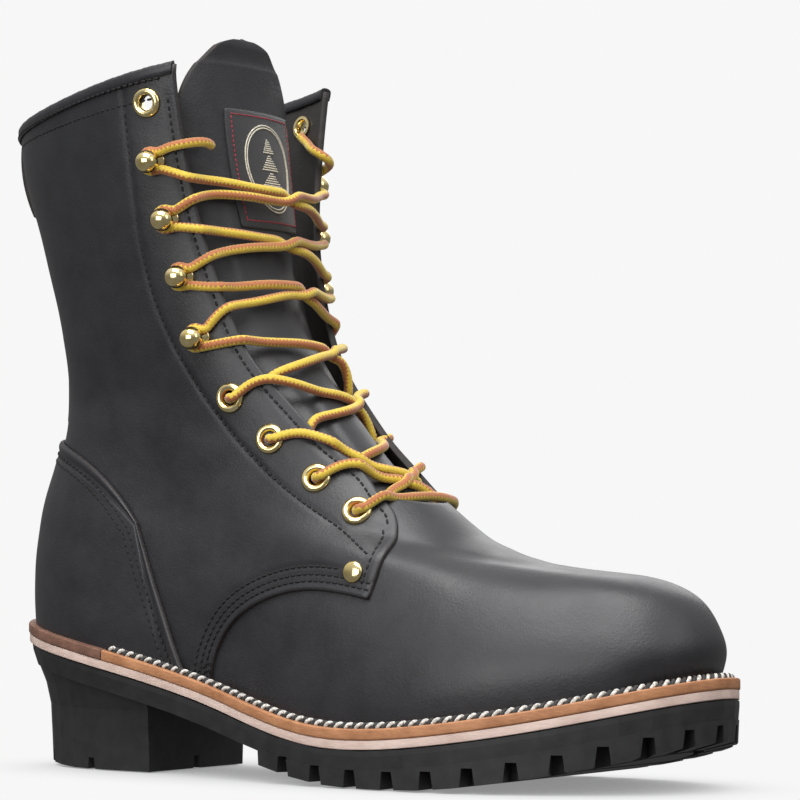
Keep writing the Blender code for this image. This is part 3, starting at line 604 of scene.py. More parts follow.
def lathe(profile, place, normal, count=40):
    # profile of (radius, height) turned about the normal; a closed one makes a ring, an open one is capped
    normal = unit(normal)
    side = unit(np.cross(normal, (0, 0, 1.0)))
    other = np.cross(normal, side)
    turn = np.linspace(0, 2 * math.pi, count, endpoint=False)
    profile = np.asarray(profile, float)
    ring = side[None] * np.cos(turn)[:, None] + other[None] * np.sin(turn)[:, None]
    vertices = place + profile[:, None, :1] * ring[None] + profile[:, None, 1:] * normal
    faces = [list(face) for face in quads(len(profile), count, wrap=True)]
    if np.allclose(profile[0], profile[-1]):
        vertices = vertices[:-1]
        faces = [[i % ((len(profile) - 1) * count) for i in face] for face in faces]
    elif profile[0][0]:
        faces = rodFaces(len(profile), count)
    else:
        # both ends meet in a point on the axis
        tips = place + profile[[0, -1], 1:] * normal
        vertices = np.concatenate([vertices[1:-1].reshape(-1, 3), tips])
        inside = len(profile) - 2
        rim = (inside - 1) * count
        faces = [list(face) for face in quads(inside, count, wrap=True)]
        for i in range(count):
            faces.append([(i + 1) % count, i, inside * count])
            faces.append([rim + i, rim + (i + 1) % count, inside * count + 1])
    return vertices.reshape(-1, 3), faces, []


# Seams: rows of small lock stitches, each a short capsule sunk a little in the leather.
seams = {"pitch": 2.9, "stitch": 2.2, "radius": 0.48, "scatter": 0.12, "trough": 0.4, "troughWidth": 1.4}
capsule = {"offsets": (-0.5, -0.42, -0.25, 0.25, 0.42, 0.5), "widths": (0.15, 0.72, 1.0, 1.0, 0.72, 0.15),
           "sides": 6, "squash": 0.75}


def addStitches(name, rows):
    vertices, faces, _ = joined(rows)
    addPiece(name, vertices, faces, "blackThread")


def capsules(points, runs, normals, length, radius):
    offsets, widths = np.array(capsule["offsets"]) * length, np.array(capsule["widths"]) * radius
    turn = np.linspace(0, 2 * math.pi, capsule["sides"], endpoint=False)
    across = np.cross(runs, normals)
    shape = (points[:, None, None] + offsets[None, :, None, None] * runs[:, None, None]
             + (widths[:, None] * np.cos(turn))[None, ..., None] * across[:, None, None]
             + (capsule["squash"] * widths[:, None] * np.sin(turn))[None, ..., None] * normals[:, None, None])
    single = rodFaces(len(offsets), capsule["sides"])
    size = len(offsets) * capsule["sides"]
    faces = [[size * k + i for i in face] for k in range(len(points)) for face in single]
    return shape.reshape(-1, 3), faces, []


def lineOnLast(sideView, side, distance, count=160):
    # a seam line: side-view points, smoothed, moved aside and found on the last
    smooth = through(sideView, count)
    moved = beside(smooth, side, distance) if distance else smooth
    return locate(evenly(moved, count), side)


def stitchRow(places, lift):
    # places are (ring, angle) along the seam
    points = onLast(places[:, 0], places[:, 1], lift)
    run = distances(points)
    at = np.arange(seams["pitch"] / 2, run[-1], seams["pitch"])
    at = at + scattered.uniform(-seams["scatter"], seams["scatter"], len(at))
    runs = unit(sample(points, run, at + 0.5) - sample(points, run, at - 0.5))
    normals = lastNormal(*sample(places, run, at).T)
    normals = unit(normals - (normals * runs).sum(1, keepdims=True) * runs)
    return capsules(sample(points, run, at), runs, normals, seams["stitch"], seams["radius"])


def treeOf(points):
    tree = KDTree(len(points))
    for i, point in enumerate(points):
        tree.insert(point, i)
    tree.balance()
    return tree


def seamTrough(points, seamLines):
    # how far the leather sinks beside its seams
    tree = treeOf(np.concatenate(seamLines))
    near = np.array([tree.find(point)[2] for point in points.reshape(-1, 3)]).reshape(points.shape[:-1])
    return seams["trough"] * np.exp(-(near / seams["troughWidth"]) ** 2)


# Soft creases: side-view line, depth (a ridge is negative), half width.
creases = {
    1: [([(30, 150), (44, 144), (58, 146)], 0.9, 7), ([(26, 172), (40, 166), (56, 170)], -0.6, 8),
        ([(140, 128), (122, 122), (104, 124)], 0.6, 8), ([(126, 146), (108, 138), (92, 142)], 0.5, 7),
        ([(60, 186), (74, 170), (80, 150)], -0.5, 12), ([(40, 250), (48, 225), (50, 200)], 0.5, 14),
        ([(90, 255), (84, 225), (88, 195)], -0.5, 14)],
    -1: [([(28, 152), (42, 146), (60, 149)], 0.9, 7), ([(27, 176), (42, 169), (60, 172)], -0.6, 8),
         ([(146, 124), (128, 117), (108, 120)], 0.7, 8), ([(134, 142), (114, 134), (96, 138)], 0.5, 7),
         ([(66, 190), (78, 172), (86, 152)], -0.5, 12), ([(44, 252), (52, 226), (52, 200)], 0.6, 14),
         ([(94, 252), (86, 226), (90, 196)], -0.5, 14), ([(62, 120), (80, 108), (96, 92)], 0.4, 9)]}


def creaseSink(points, side):
    # points are on the last; only points of that side take part
    sink = np.zeros(points.shape[:-1])
    for line, depth, width in creases[side]:
        smooth = through(line, 24)
        span = np.linalg.norm(points[..., None, [0, 2]] - smooth, axis=-1)
        nearest = span.argmin(-1)
        fade = np.sin(np.pi * np.clip((nearest + 1) / 25, 0, 1)) ** 0.7
        sink += depth * fade * np.exp(-(span.min(-1) / width) ** 2)
    return sink


# Hardware places on the last as (ring, degrees), and lathe profiles as (radius, height over the last).
hardware = {
    "eyelets": [(8.33, 48.8), (9.30, 53.9), (10.36, 60.9), (11.28, 67.0), (16.58, 67.0)],
    "hooks": [(12.75, 64.2), (14.03, 59.4), (15.00, 60.7), (15.85, 63.8)],
    "rivet": (4.41, 74.7), "bore": 3.1, "boreReach": 6,
    "eyeletProfile": [(5.9, 1.55), (5.95, 2.0), (5.7, 2.6), (5.1, 3.15), (4.4, 3.35), (3.7, 3.15),
                      (3.15, 2.6), (2.85, 1.8), (2.8, -1.6), (3.4, -2.3), (4.6, -2.2), (4.6, -1.7), (3.08, -1.6),
                      (3.08, 1.5), (5.9, 1.55)],
    "hookProfile": [(0.0, 1.5), (4.5, 1.5), (4.55, 2.1), (4.2, 2.6), (3.2, 2.95), (2.3, 3.4), (2.0, 4.2),
                    (2.05, 5.1), (2.6, 5.7), (3.5, 6.2), (4.2, 7.1), (4.5, 8.3), (4.45, 9.6), (4.0, 11.1),
                    (3.2, 12.2), (2.2, 12.8), (1.1, 13.1), (0.0, 13.2)],
    "rivetProfile": [(0.0, 1.5), (4.1, 1.5), (4.2, 1.9), (4.0, 2.4), (3.5, 2.8), (2.7, 3.1), (1.6, 3.3),
                     (0.0, 3.4)]}

# Quarters: the two tall side panels, with the lining behind them and a cut edge at the facing.
quarter = {"rows": 150, "columns": 150, "lift": 1.7, "wallRings": (6, 10), "walls": (1.5, 1.1),
           "liningFold": 0.6, "edge": 0.35, "facingSeam": 3.6,
           "sweepSeams": ((0, 3.0), (0, 5.6), (22, 8.6)), "seamEnd": 0.35, "stitchSink": 0.2}


def seamSet(side):
    # (ring, angle) along each seam of a quarter; the third row of the sweep starts a little later
    facing = through(lines["facingEdge"][:-1], 200)
    sweep = through(lines["quarterSweep"], 160)
    fronts = [lineOnLast(facing, side, quarter["facingSeam"] * side),
              lineOnLast(lines["outerRow"], side, 0, 200), lineOnLast(lines["seamFront"], side, 0, 40)]
    return fronts + [lineOnLast(sweep[start:], side, -away * side) for start, away in quarter["sweepSeams"]]


def quarterGrid(side):
    # ring and angle over the whole panel, from its sweep up to the rim and from its front back to the heel
    rim, heel = lines["rim"], side * math.pi
    corner = locate(lines["quarterFront"][:1], side)
    sweep = locate(through(lines["quarterSweep"], 90), side)
    facing = locate(through(lines["facingEdge"], 120), side)
    front = locate(through(lines["quarterFront"], 30), side)
    footEnd = (0.0, sweep[-1, 1])
    bottom = evenly(np.concatenate([sweep[:-1], [footEnd]]), 84)
    bottom = np.concatenate([corner, bottom[1:], np.linspace(footEnd, (0.0, heel), 68)[1:]])
    front = np.concatenate([corner, front[1:-1], facing])
    front = front[front[:, 0] <= rim]
    front = np.concatenate([front, [(rim, front[-1, 1])]])
    top, backSeam = np.array([front[-1], (rim, heel)]), np.array([(0.0, heel), (rim, heel)])
    return patch(bottom, top, front, backSeam, quarter["rows"], quarter["columns"])


def makeQuarter(side, name):
    ring, angle = quarterGrid(side)
    base, normal = lastBase(ring, angle), lastNormal(ring, angle)
    seamPlaces = seamSet(side)
    trough = seamTrough(base, [lastBase(place[:, 0], place[:, 1]) for place in seamPlaces])
    fold = creaseSink(base, side)
    wall = np.interp(ring, quarter["wallRings"], quarter["walls"])
    outer = base + (quarter["lift"] - trough - fold)[..., None] * normal
    under = base - (wall + quarter["liningFold"] * fold)[..., None] * normal
    punchHoles(addPanel(name, outer, under, quarter["edge"]), side)
    lift, end = quarter["lift"] - quarter["stitchSink"], lines["rim"] - quarter["seamEnd"]
    addStitches(name + "Stitches", [stitchRow(place[place[:, 0] < end], lift) for place in seamPlaces])


def punchHoles(piece, side):
    # the bores that the eyelet barrels sit in
    bar = [(hardware["bore"], -hardware["boreReach"]), (hardware["bore"], hardware["boreReach"])]
    vertices, faces, _ = joined([lathe(bar, *spot(ring, side * degrees), 24)
                                 for ring, degrees in hardware["eyelets"]])
    cutter = meshObject("cutters", vertices, faces)
    faceOutward(cutter.data)
    bore = piece.modifiers.new("bore", "BOOLEAN")
    bore.operation = "DIFFERENCE"
    bore.object = cutter
    bore.solver = "FAST"
    selectOnly(piece)
    bpy.ops.object.modifier_apply(modifier="bore")
    bpy.data.objects.remove(cutter)


makeQuarter(-1, "outerQuarter")
makeQuarter(1, "innerQuarter")
print("quarters done")


def relaxed(grid, times):
    # evens out a grid without shrinking it, borders held
    for i in range(2 * times):
        pull = 0.5 if i % 2 == 0 else -0.52
        middleOf = (grid[:-2, 1:-1] + grid[2:, 1:-1] + grid[1:-1, :-2] + grid[1:-1, 2:]) / 4
        grid[1:-1, 1:-1] += pull * (middleOf - grid[1:-1, 1:-1])
    return grid


# Vamp: one smooth piece over the toes, tucked under both quarters, with the throat under the tongue.
vamp = {"rows": 120, "columns": 190, "topRing": 8.8, "sides": (116, 76), "flare": 0.35, "edge": 0.5,
        "flexes": ((214, 5.0, 0.0, 0.8, 0.35), (228, 6.0, 0.2, 0.7, 0.3)),  # x, width, angle, spread, depth
        "rub": 0.06, "wall": (1.8, 0.3), "evened": 60}


def makeVamp():
    t = np.linspace(0, 1, vamp["rows"])[:, None]
    s = np.linspace(-1, 1, vamp["columns"])[None]
    ring = vamp["topRing"] * t + vamp["flare"] * t ** 4 * (1 - s ** 2)
    angle = np.radians(vamp["sides"][0] + (vamp["sides"][1] - vamp["sides"][0]) * t) * s
    base, normal = lastBase(ring, angle), lastNormal(ring, angle)
    x, y, away = base[..., 0], base[..., 1], np.abs(angle)
    sink = sum(depth * np.exp(-((x - at) / width) ** 2 - ((away - start) / spread) ** 2)
               for at, width, start, spread, depth in vamp["flexes"])
    sink += vamp["rub"] * np.sin(x / 9) * np.sin(y / 8 + 1)
    outer = relaxed(base - sink[..., None] * normal, vamp["evened"])
    under = base - (vamp["wall"][0] - vamp["wall"][1] * away)[..., None] * normal
    addPanel("vamp", outer, relaxed(under, vamp["evened"]), vamp["edge"], ["upper"])


makeVamp()
print("vamp done")

# Heel counter: a moulded pocket round the heel with a rolled edge and two rows of stitches.
counter = {"rows": 110, "columns": 220, "lift": 1.95, "thickness": 1.75, "edge": 0.6,
           "ridges": ((2.2, 2.2, 0.45), (6.4, 1.3, -0.35), (9.4, 1.3, -0.3)),  # grid steps in, width, height
           "seams": (4.6, 7.6), "seamTop": 10.2, "overlap": 0.15, "sink": 0.3, "stitchSink": 0.05}


def makeCounter():
    up, back = through(lines["counterEdge"], 60), through(lines["counterTop"], 60)
    (outerUp, outerBack), (innerUp, innerBack) = [(locate(up, side), locate(back, side)) for side in (-1, 1)]
    outerUp[0, 0] = innerUp[0, 0] = 0
    for line in (innerUp, innerBack):
        line[:, 1] -= 2 * math.pi
    top = np.concatenate([outerBack, innerBack[::-1]])
    bottom = np.linspace(outerUp[0], innerUp[0], 80)
    ring, angle = patch(bottom, top, outerUp, innerUp, counter["rows"], counter["columns"])
    base, normal = lastBase(ring, angle), lastNormal(ring, angle)
    column = np.arange(counter["columns"])
    fromSide = 1.6 * np.minimum(column, column[::-1])[None]
    near = np.minimum(fromSide, 1.2 * np.arange(counter["rows"])[::-1, None])
    top = counter["lift"] + counter["thickness"] - counter["sink"]
    lift = top + sum(height * np.exp(-((near - at) / width) ** 2) for at, width, height in counter["ridges"])
    under = base + (counter["lift"] - counter["overlap"]) * normal
    addPanel("heelCounter", base + lift[..., None] * normal, under, counter["edge"], ["heel_counter"])
    rows = []
    for away in counter["seams"]:
        for side in (-1, 1):
            place = lineOnLast(np.concatenate([up, back[1:]]), side, away * side, 180)
            rows.append(stitchRow(place[place[:, 0] < counter["seamTop"]], top - counter["stitchSink"]))
    addStitches("counterStitches", rows)


makeCounter()
print("counter done")


# Brass: rolled eyelets, ball hooks and the rivets at the quarters' lower corners.
def makeHardware():
    for side, word, node in ((-1, "Outer", "outer"), (1, "Inner", "inner")):
        for kind in ("eyelet", "hook"):
            places = hardware[kind + "s"]
            stands = ["%s_%s_%d" % (kind, node, i + 1) for i in range(len(places))]
            vertices, faces, _ = joined([lathe(hardware[kind + "Profile"], *spot(ring, side * degrees))
                                         for ring, degrees in places])
            name = "brass%s%ss" % (word, kind.capitalize())
            addPiece(name, vertices, faces, "brass", stands, keen=50)
        ring, degrees = hardware["rivet"]
        vertices, faces, _ = lathe(hardware["rivetProfile"], *spot(ring, side * degrees))
        addPiece("brass%sRivet" % word, vertices, faces, "brass", ["rivet_" + node], keen=50)


makeHardware()
print("hardware done")

# Back strip, pull and the folded collar binding.
back = {"columns": 30, "stripRows": 130, "rings": (8.2, 16.85), "halfAngle": (12.5, 14.0), "lift": 1.85,
        "thickness": 1.5, "skive": (0.9, 0.9), "groove": (0.78, 0.07, 0.3), "edge": 0.6,
        "pullRows": 40, "pullRings": (15.35, 16.8), "pullAngle": 15.5, "pullLift": 3.5, "pullThickness": 1.9,
        "pullGroove": (0.8, 0.07, 0.35), "pullEdge": 0.8}


def backGrid(rows, rings, halfDegrees):
    # ring, angle and share across over a strip that follows the back seam
    t = np.linspace(0, 1, rows)[:, None]
    across = np.linspace(-1, 1, back["columns"])[None] + 0 * t
    half = np.radians(halfDegrees[0] + (halfDegrees[1] - halfDegrees[0]) * t)
    return rings[0] + (rings[1] - rings[0]) * t + 0 * across, half, across


def grooves(across, place, width, depth):
    return depth * np.exp(-((np.abs(across) - place) / width) ** 2)


def backStitches(ring, half, share, lift):
    return [stitchRow(np.column_stack([ring, math.pi + hand * share * half]), lift) for hand in (-1, 1)]


def makeBackStrip():
    # the strip is skived thin where it runs under the counter
    ring, half, across = backGrid(back["stripRows"], back["rings"], back["halfAngle"])
    span, thin = back["skive"]
    rise = np.clip((ring - back["rings"][0]) / span, 0, 1)
    lift = back["lift"] - thin + (thin + back["thickness"]) * rise - grooves(across, *back["groove"])
    under = np.minimum(back["lift"] - 0.25 - thin * (1 - rise), lift - 0.4)
    angle = math.pi + half * across
    addPanel("backStrip", onLast(ring, angle, lift), onLast(ring, angle, under), back["edge"], ["back_stay"])
    top = back["lift"] + back["thickness"]
    return backStitches(ring[8:-8, 0], half[8:-8, 0], back["groove"][0], top - 0.25)


def makeBackPull():
    # the doubled leather tab at the top of the strip
    ring, half, across = backGrid(back["pullRows"], back["pullRings"], (back["pullAngle"], back["pullAngle"]))
    t = np.linspace(0, 1, back["pullRows"])[:, None]
    crown = back["pullThickness"] * np.sin(np.pi * np.clip(t * 0.8 + 0.12, 0, 1)) ** 0.5
    lift = back["pullLift"] + crown - grooves(across, *back["pullGroove"])
    angle = math.pi + half * across
    under = onLast(ring, angle, back["pullLift"] - 0.3)
    addPanel("backPull", onLast(ring, angle, lift), under, back["pullEdge"])
    top = back["pullLift"] + back["pullThickness"]
    return backStitches(ring[2:-2, 0], half[2:-2, 0], back["pullGroove"][0], top - 0.45)


addStitches("backStitches", makeBackStrip() + makeBackPull())

collar = {"start": 58.2, "count": 230, "ripples": ((0.08, 2.4, 0), (0.06, 5.1, 1)),
          "seams": ((0.115, 2.75), (0.34, 1.6)),  # rings below the rim, lift
          "profile": [(1.8, -3.3), (2.35, -3.5), (2.75, -3.1), (2.8, -1.4), (2.7, 0.3), (2.2, 1.1),
                      (1.2, 1.5), (0.2, 1.6), (-0.8, 1.5), (-1.7, 1.1), (-2.2, 0.3), (-2.3, -1.4),
                      (-2.2, -3.1), (-1.8, -3.5), (-1.3, -3.3), (-1.25, 0.3), (0.2, 0.75), (1.75, 0.3)]}


def makeCollar():
    degrees = np.linspace(collar["start"], 360 - collar["start"], collar["count"])
    angle = np.radians(degrees)
    ring = np.full_like(angle, lines["rim"])
    base, normal = lastBase(ring, angle), lastNormal(ring, angle)
    up = unit(base - lastBase(ring - 0.2, angle))
    ripple = sum(height * np.sin(degrees * pace + shift) for height, pace, shift in collar["ripples"])
    shape = np.array(collar["profile"])[None]
    rise = shape[..., 1] + ripple[:, None]
    grid = base[:, None] + shape[..., :1] * normal[:, None] + rise[..., None] * up[:, None]
    addPiece("collarBinding", grid.reshape(-1, 3), rodFaces(*rise.shape), "leather",
             ["collar_binding"], keen=60)
    addStitches("collarStitches", [stitchRow(np.column_stack([ring - below, angle])[3:-3], lift)
                                   for below, lift in collar["seams"]])


makeCollar()
print("collar done")

# Tongue: a gusseted leather tongue that stands above the collar, with soft folds, and its woven label.
tongue = {
    "rows": [  # ring, front, side, half, sag, rise, outerDegrees, innerDegrees
        (8.95, 9, 0, 27, 70, 0, 38, 38), (10, 11.5, 0, 28, 66, 0, 48, 48), (11, 12.5, 0, 29.5, 58, 0, 52, 52),
        (12, 13, 0, 32.5, 50, 0, 54, 54), (13, 13, -0.5, 36, 40, 0, 56, 56), (14, 13, -1, 38, 31, 0, 58, 57),
        (15, 14.5, -2.5, 39, 26, 0, 60, 56), (16, 19.5, -5.5, 42, 22, 0, 60, 52),
        (16.65, 26, -8.5, 44, 17, 0, 50, 46), (17, 30, -8, 44, 14, 1.4, 36, 32),
        (17, 30.5, -7.5, 44, 12, 9, 21, 20), (17, 31, -7.5, 44, 11, 12, 9, 8)],
    "thickness": 2.6, "count": (150, 110), "edge": 0.9, "edgeSteps": 5,
    "folds": [  # row, share, half width in rows, half width in share, depth
        (3.2, 0.70, 1.2, 0.05, 1.0), (4.6, 0.80, 1.0, 0.05, 1.1), (2.2, 0.28, 1.3, 0.05, 0.7),
        (5.2, 0.24, 1.2, 0.06, -0.6), (3.9, 0.50, 0.22, 0.30, 0.6), (5.3, 0.60, 0.22, 0.30, 0.5),
        (2.9, 0.45, 0.2, 0.3, 0.5), (6.6, 0.20, 0.8, 0.07, 0.6)]}


def tongueSurface(rows, shares):
    rows, shares = np.asarray(rows, float), np.asarray(shares, float)
    row = spline(range(len(tongue["rows"])), tongue["rows"], rows)
    section = spline(range(len(last["rings"])), last["rings"], row[..., 0])
    slope = (section[..., 3] - section[..., 1]) / (section[..., 2] - section[..., 0])
    angle = np.radians(-row[..., 6] + shares * (row[..., 6] + row[..., 7]))
    x = section[..., 2] - row[..., 1] - row[..., 4] * (1 - np.cos(angle))
    y = row[..., 2] + row[..., 3] * np.sin(angle)
    return np.stack([x, y, section[..., 3] + slope * (x - section[..., 2]) + row[..., 5]], -1)


def onTongue(rows, shares, lift):
    rows, shares = np.asarray(rows, float), np.asarray(shares, float)
    base = tongueSurface(rows, shares)
    top = len(tongue["rows"]) - 1
    high, low = np.minimum(rows + 0.02, top), np.maximum(rows - 0.02, 0)
    along = tongueSurface(high, shares) - tongueSurface(low, shares)
    across = tongueSurface(rows, shares + 0.01) - tongueSurface(rows, shares - 0.01)
    normal = unit(np.cross(across, along))
    sink = sum(depth * np.exp(-((rows - r) / wr) ** 2 - ((shares - s) / ws) ** 2)
               for r, s, wr, ws, depth in tongue["folds"])
    return base + (np.asarray(lift, float) - sink)[..., None] * normal


def makeTongue():
    high, wide = tongue["count"]
    top = len(tongue["rows"]) - 1
    rows, shares = np.meshgrid(np.linspace(0, top, high), np.linspace(0, 1, wide), indexing="ij")
    outer, under = onTongue(rows, shares, 0 * rows), onTongue(rows, shares, 0 * rows - tongue["thickness"])
    addPanel("tongue", outer, under, tongue["edge"], ["tongue"], tongue["edgeSteps"])


# Label: black satin with a red border and a plain fir tree in a double oval. Places on it run from 0 to 1, up
# and across. A thread's settings are its pitch, stitch length and radius.
label = {"rows": (5.95, 7.72), "shares": (0.33, 0.90), "grid": 50, "lift": 1.0, "pillow": 0.25, "under": 0.3,
         "threadLift": 1.3, "inset": 0.055, "oval": (0.36, 0.33), "ovals": (1.0, 0.93),
         "tiers": 3, "tierTop": 0.74, "tierStep": 0.14, "tierHeight": 0.13, "tierWidth": 0.075,
         "tierSpread": 0.045, "tierRows": 7, "trunk": (0.24, 0.34), "trunkRows": (-0.02, 0, 0.02),
         "ground": (0.235, 0.215), "groundEnds": (0.34, 0.66),
         "borderThread": (1.9, 1.45, 0.3), "ovalThread": (0.7, 1.0, 0.35), "treeThread": (0.8, 1.0, 0.32),
         "groundThread": (0.8, 1.1, 0.3)}


def labelPoint(u, v, lift):
    # u runs up and v across the label
    (low, high), (start, end) = label["rows"], label["shares"]
    return onTongue(low + (high - low) * u, start + (end - start) * v, lift)


def labelThread(points, thread):
    # satin stitches laid along a line of places
    pitch, length, radius = label[thread]
    u, v = np.asarray(points, float).T
    path = labelPoint(u, v, label["threadLift"])
    above = labelPoint(u, v, label["threadLift"] + 1)
    run = distances(path)
    at = np.arange(pitch / 2, run[-1], pitch)
    runs = unit(sample(path, run, at + 0.4) - sample(path, run, at - 0.4))
    return capsules(sample(path, run, at), runs, sample(above - path, run, at), length, radius)


def firTree():
    # stitched rows that widen downward, tier by tier
    rows = []
    for level in range(label["tiers"]):
        top = label["tierTop"] - label["tierStep"] * level
        wide = label["tierWidth"] + label["tierSpread"] * level
        for share in (np.arange(label["tierRows"]) + 1) / label["tierRows"]:
            height = top - label["tierHeight"] * share
            rows.append(np.linspace((height, 0.5 - wide * share), (height, 0.5 + wide * share), 20))
    return rows


def makeLabel():
    u, v = np.meshgrid(*[np.linspace(0, 1, label["grid"])] * 2, indexing="ij")
    near = np.minimum(np.minimum(u, 1 - u), np.minimum(v, 1 - v))
    pillow = label["lift"] + label["pillow"] * np.clip(near / 0.05, 0, 1)
    vertices, faces, _ = closedSheet(labelPoint(u, v, pillow), labelPoint(u, v, 0 * u - label["under"]), 0.6)
    addPiece("labelPatch", vertices, faces, "satin", ["label_patch"])
    low, high = label["inset"], 1 - label["inset"]
    corners = [(low, low), (high, low), (high, high), (low, high), (low, low)]
    border = np.concatenate([np.linspace(a, b, 60) for a, b in zip(corners, corners[1:])])
    turn = np.linspace(0, 2 * math.pi, 200)
    tall, wide = label["oval"]
    ovals = [np.column_stack([0.5 + size * tall * np.sin(turn), 0.5 + size * wide * np.cos(turn)])
             for size in label["ovals"]]
    foot, top = label["trunk"]
    trunk = [np.linspace((foot, 0.5 + shift), (top, 0.5 + shift), 20) for shift in label["trunkRows"]]
    start, end = label["groundEnds"]
    ground = [np.linspace((height, start), (height, end), 40) for height in label["ground"]]
    pieces = (("labelBorder", "redThread", [("borderThread", [border])]),
              ("labelMotif", "creamThread", [("ovalThread", ovals), ("treeThread", firTree())]),
              ("labelTrunk", "goldThread", [("treeThread", trunk), ("groundThread", ground)]))
    for name, finish, threads in pieces:
        vertices, faces, _ = joined([labelThread(row, thread) for thread, rows in threads for row in rows])
        addPiece(name, vertices, faces, finish)


makeTongue()
makeLabel()
print("tongue done")

# Welt, heel rand and midsole: strips trimmed to the sole's outline.
sole = {"weltThickness": 4.2, "weltWidth": 12.0, "soften": 0.7, "groove": (3.4, 2.6, 0.6),
        "randAngle": math.radians(127), "jointGap": 0.004, "weltRows": 420, "randRows": 180,
        "midsoleThickness": 3.4, "midsoleWidth": 24.0, "midsoleInset": 0.35, "midsoleGap": 0.1,
        "wave": 0.12, "midsoleWave": 0.08}


def weltStrip(name, node, angle, profile, finish, wave, wrap=False):
    # profile of (inset, depth below the welt's top), turned into a strip round the sole
    ripple = wave * (np.sin(angle * 23) + 0.6 * np.sin(angle * 57 + 1))
    rings = []
    for inset, depth in profile:
        edge = soleEdge(angle, inset + (ripple if inset < 3 else 0 * ripple))
        rings.append(np.column_stack([edge, weltTop(edge[:, 0]) - depth]))
    grid = np.stack(rings, 1)
    if wrap:
        grid = np.concatenate([grid, grid[:1]])
        faces = quads(*grid.shape[:2], wrap=True) % (len(angle) * len(profile))
        grid = grid[:-1]
    else:
        faces = rodFaces(*grid.shape[:2])
    addPiece(name, grid.reshape(-1, 3), faces, finish, [node], keen=40)


def stripProfile(outer, inner, top, bottom, soften, groove=None):
    # a section with softened outer corners, and a stitching groove on top where it has one
    turn = np.linspace(0, math.pi / 2, 5)
    corner = np.column_stack([outer + soften * (1 - np.cos(turn)), soften * (1 - np.sin(turn))])
    upper = corner + (0, top)
    lower = corner[::-1] * (1, -1) + (0, bottom)
    channel = []
    if groove:
        at, width, depth = groove
        channel = [(at + width * shift, top + depth * sink)
                   for shift, sink in ((-0.5, 0), (-0.3, 0.7), (0, 1), (0.3, 0.7), (0.5, 0))]
    return [*lower, (outer, (top + bottom) / 2), *upper, *channel, (inner, top), (inner, bottom)]


def makeSole():
    width, thick, turn = sole["weltWidth"], sole["weltThickness"], sole["randAngle"]
    grooved = stripProfile(0, width, 0, thick, sole["soften"], sole["groove"])
    weltStrip("welt", "welt", np.linspace(-turn, turn, sole["weltRows"]), grooved, "welt",
              sole["wave"])
    start = turn + sole["jointGap"]
    weltStrip("heelRand", "heel_rand", np.linspace(start, 2 * math.pi - start, sole["randRows"]),
              stripProfile(0, width, 0, thick, sole["soften"]), "rand", sole["wave"])
    top, inset = thick + sole["midsoleGap"], sole["midsoleInset"]
    weltStrip("midsole", "midsole", np.linspace(0, 2 * math.pi, sole["weltRows"], endpoint=False),
              stripProfile(inset, sole["midsoleWidth"], top, top + sole["midsoleThickness"], inset),
              "midsole", sole["midsoleWave"], wrap=True)


makeSole()

# Lockstitch on the welt: a pale and a dark waxed strand laid round each other, dipping into each hole.
rope = {"inset": 3.3, "strand": 0.85, "radius": 0.78, "sides": 7, "twist": 4.8, "lift": 0.75, "stitch": 4.8,
        "dip": 0.8, "hole": 0.5, "points": 1500, "fromRand": 0.02}


def makeRope():
    reach = sole["randAngle"] - rope["fromRand"]
    angle = np.linspace(-reach, reach, rope["points"])
    edge = soleEdge(angle, np.full_like(angle, rope["inset"]))
    path = evenly(np.column_stack([edge, weltTop(edge[:, 0])]), rope["points"])
    along = distances(path)
    up = np.array([0, 0, 1.0])
    across = np.cross(unit(np.gradient(path, axis=0)), up)
    fromHole = np.mod(along, rope["stitch"]) - rope["stitch"] / 2
    lift = rope["lift"] - rope["dip"] * np.exp(-(fromHole / rope["hole"]) ** 2)
    strands = (("weltThreadPale", 0, "whiteThread"), ("weltThreadDark", math.pi, "darkThread"))
    for name, phase, finish in strands:
        turn = 2 * math.pi * along / rope["twist"] + phase
        centre = path + (lift + rope["strand"] * np.sin(turn))[:, None] * up
        centre += (rope["strand"] * np.cos(turn))[:, None] * across
        vertices, faces, _ = tube(centre, rope["radius"], rope["sides"])
        addPiece(name, vertices, faces, finish)


makeRope()
print("welt done")
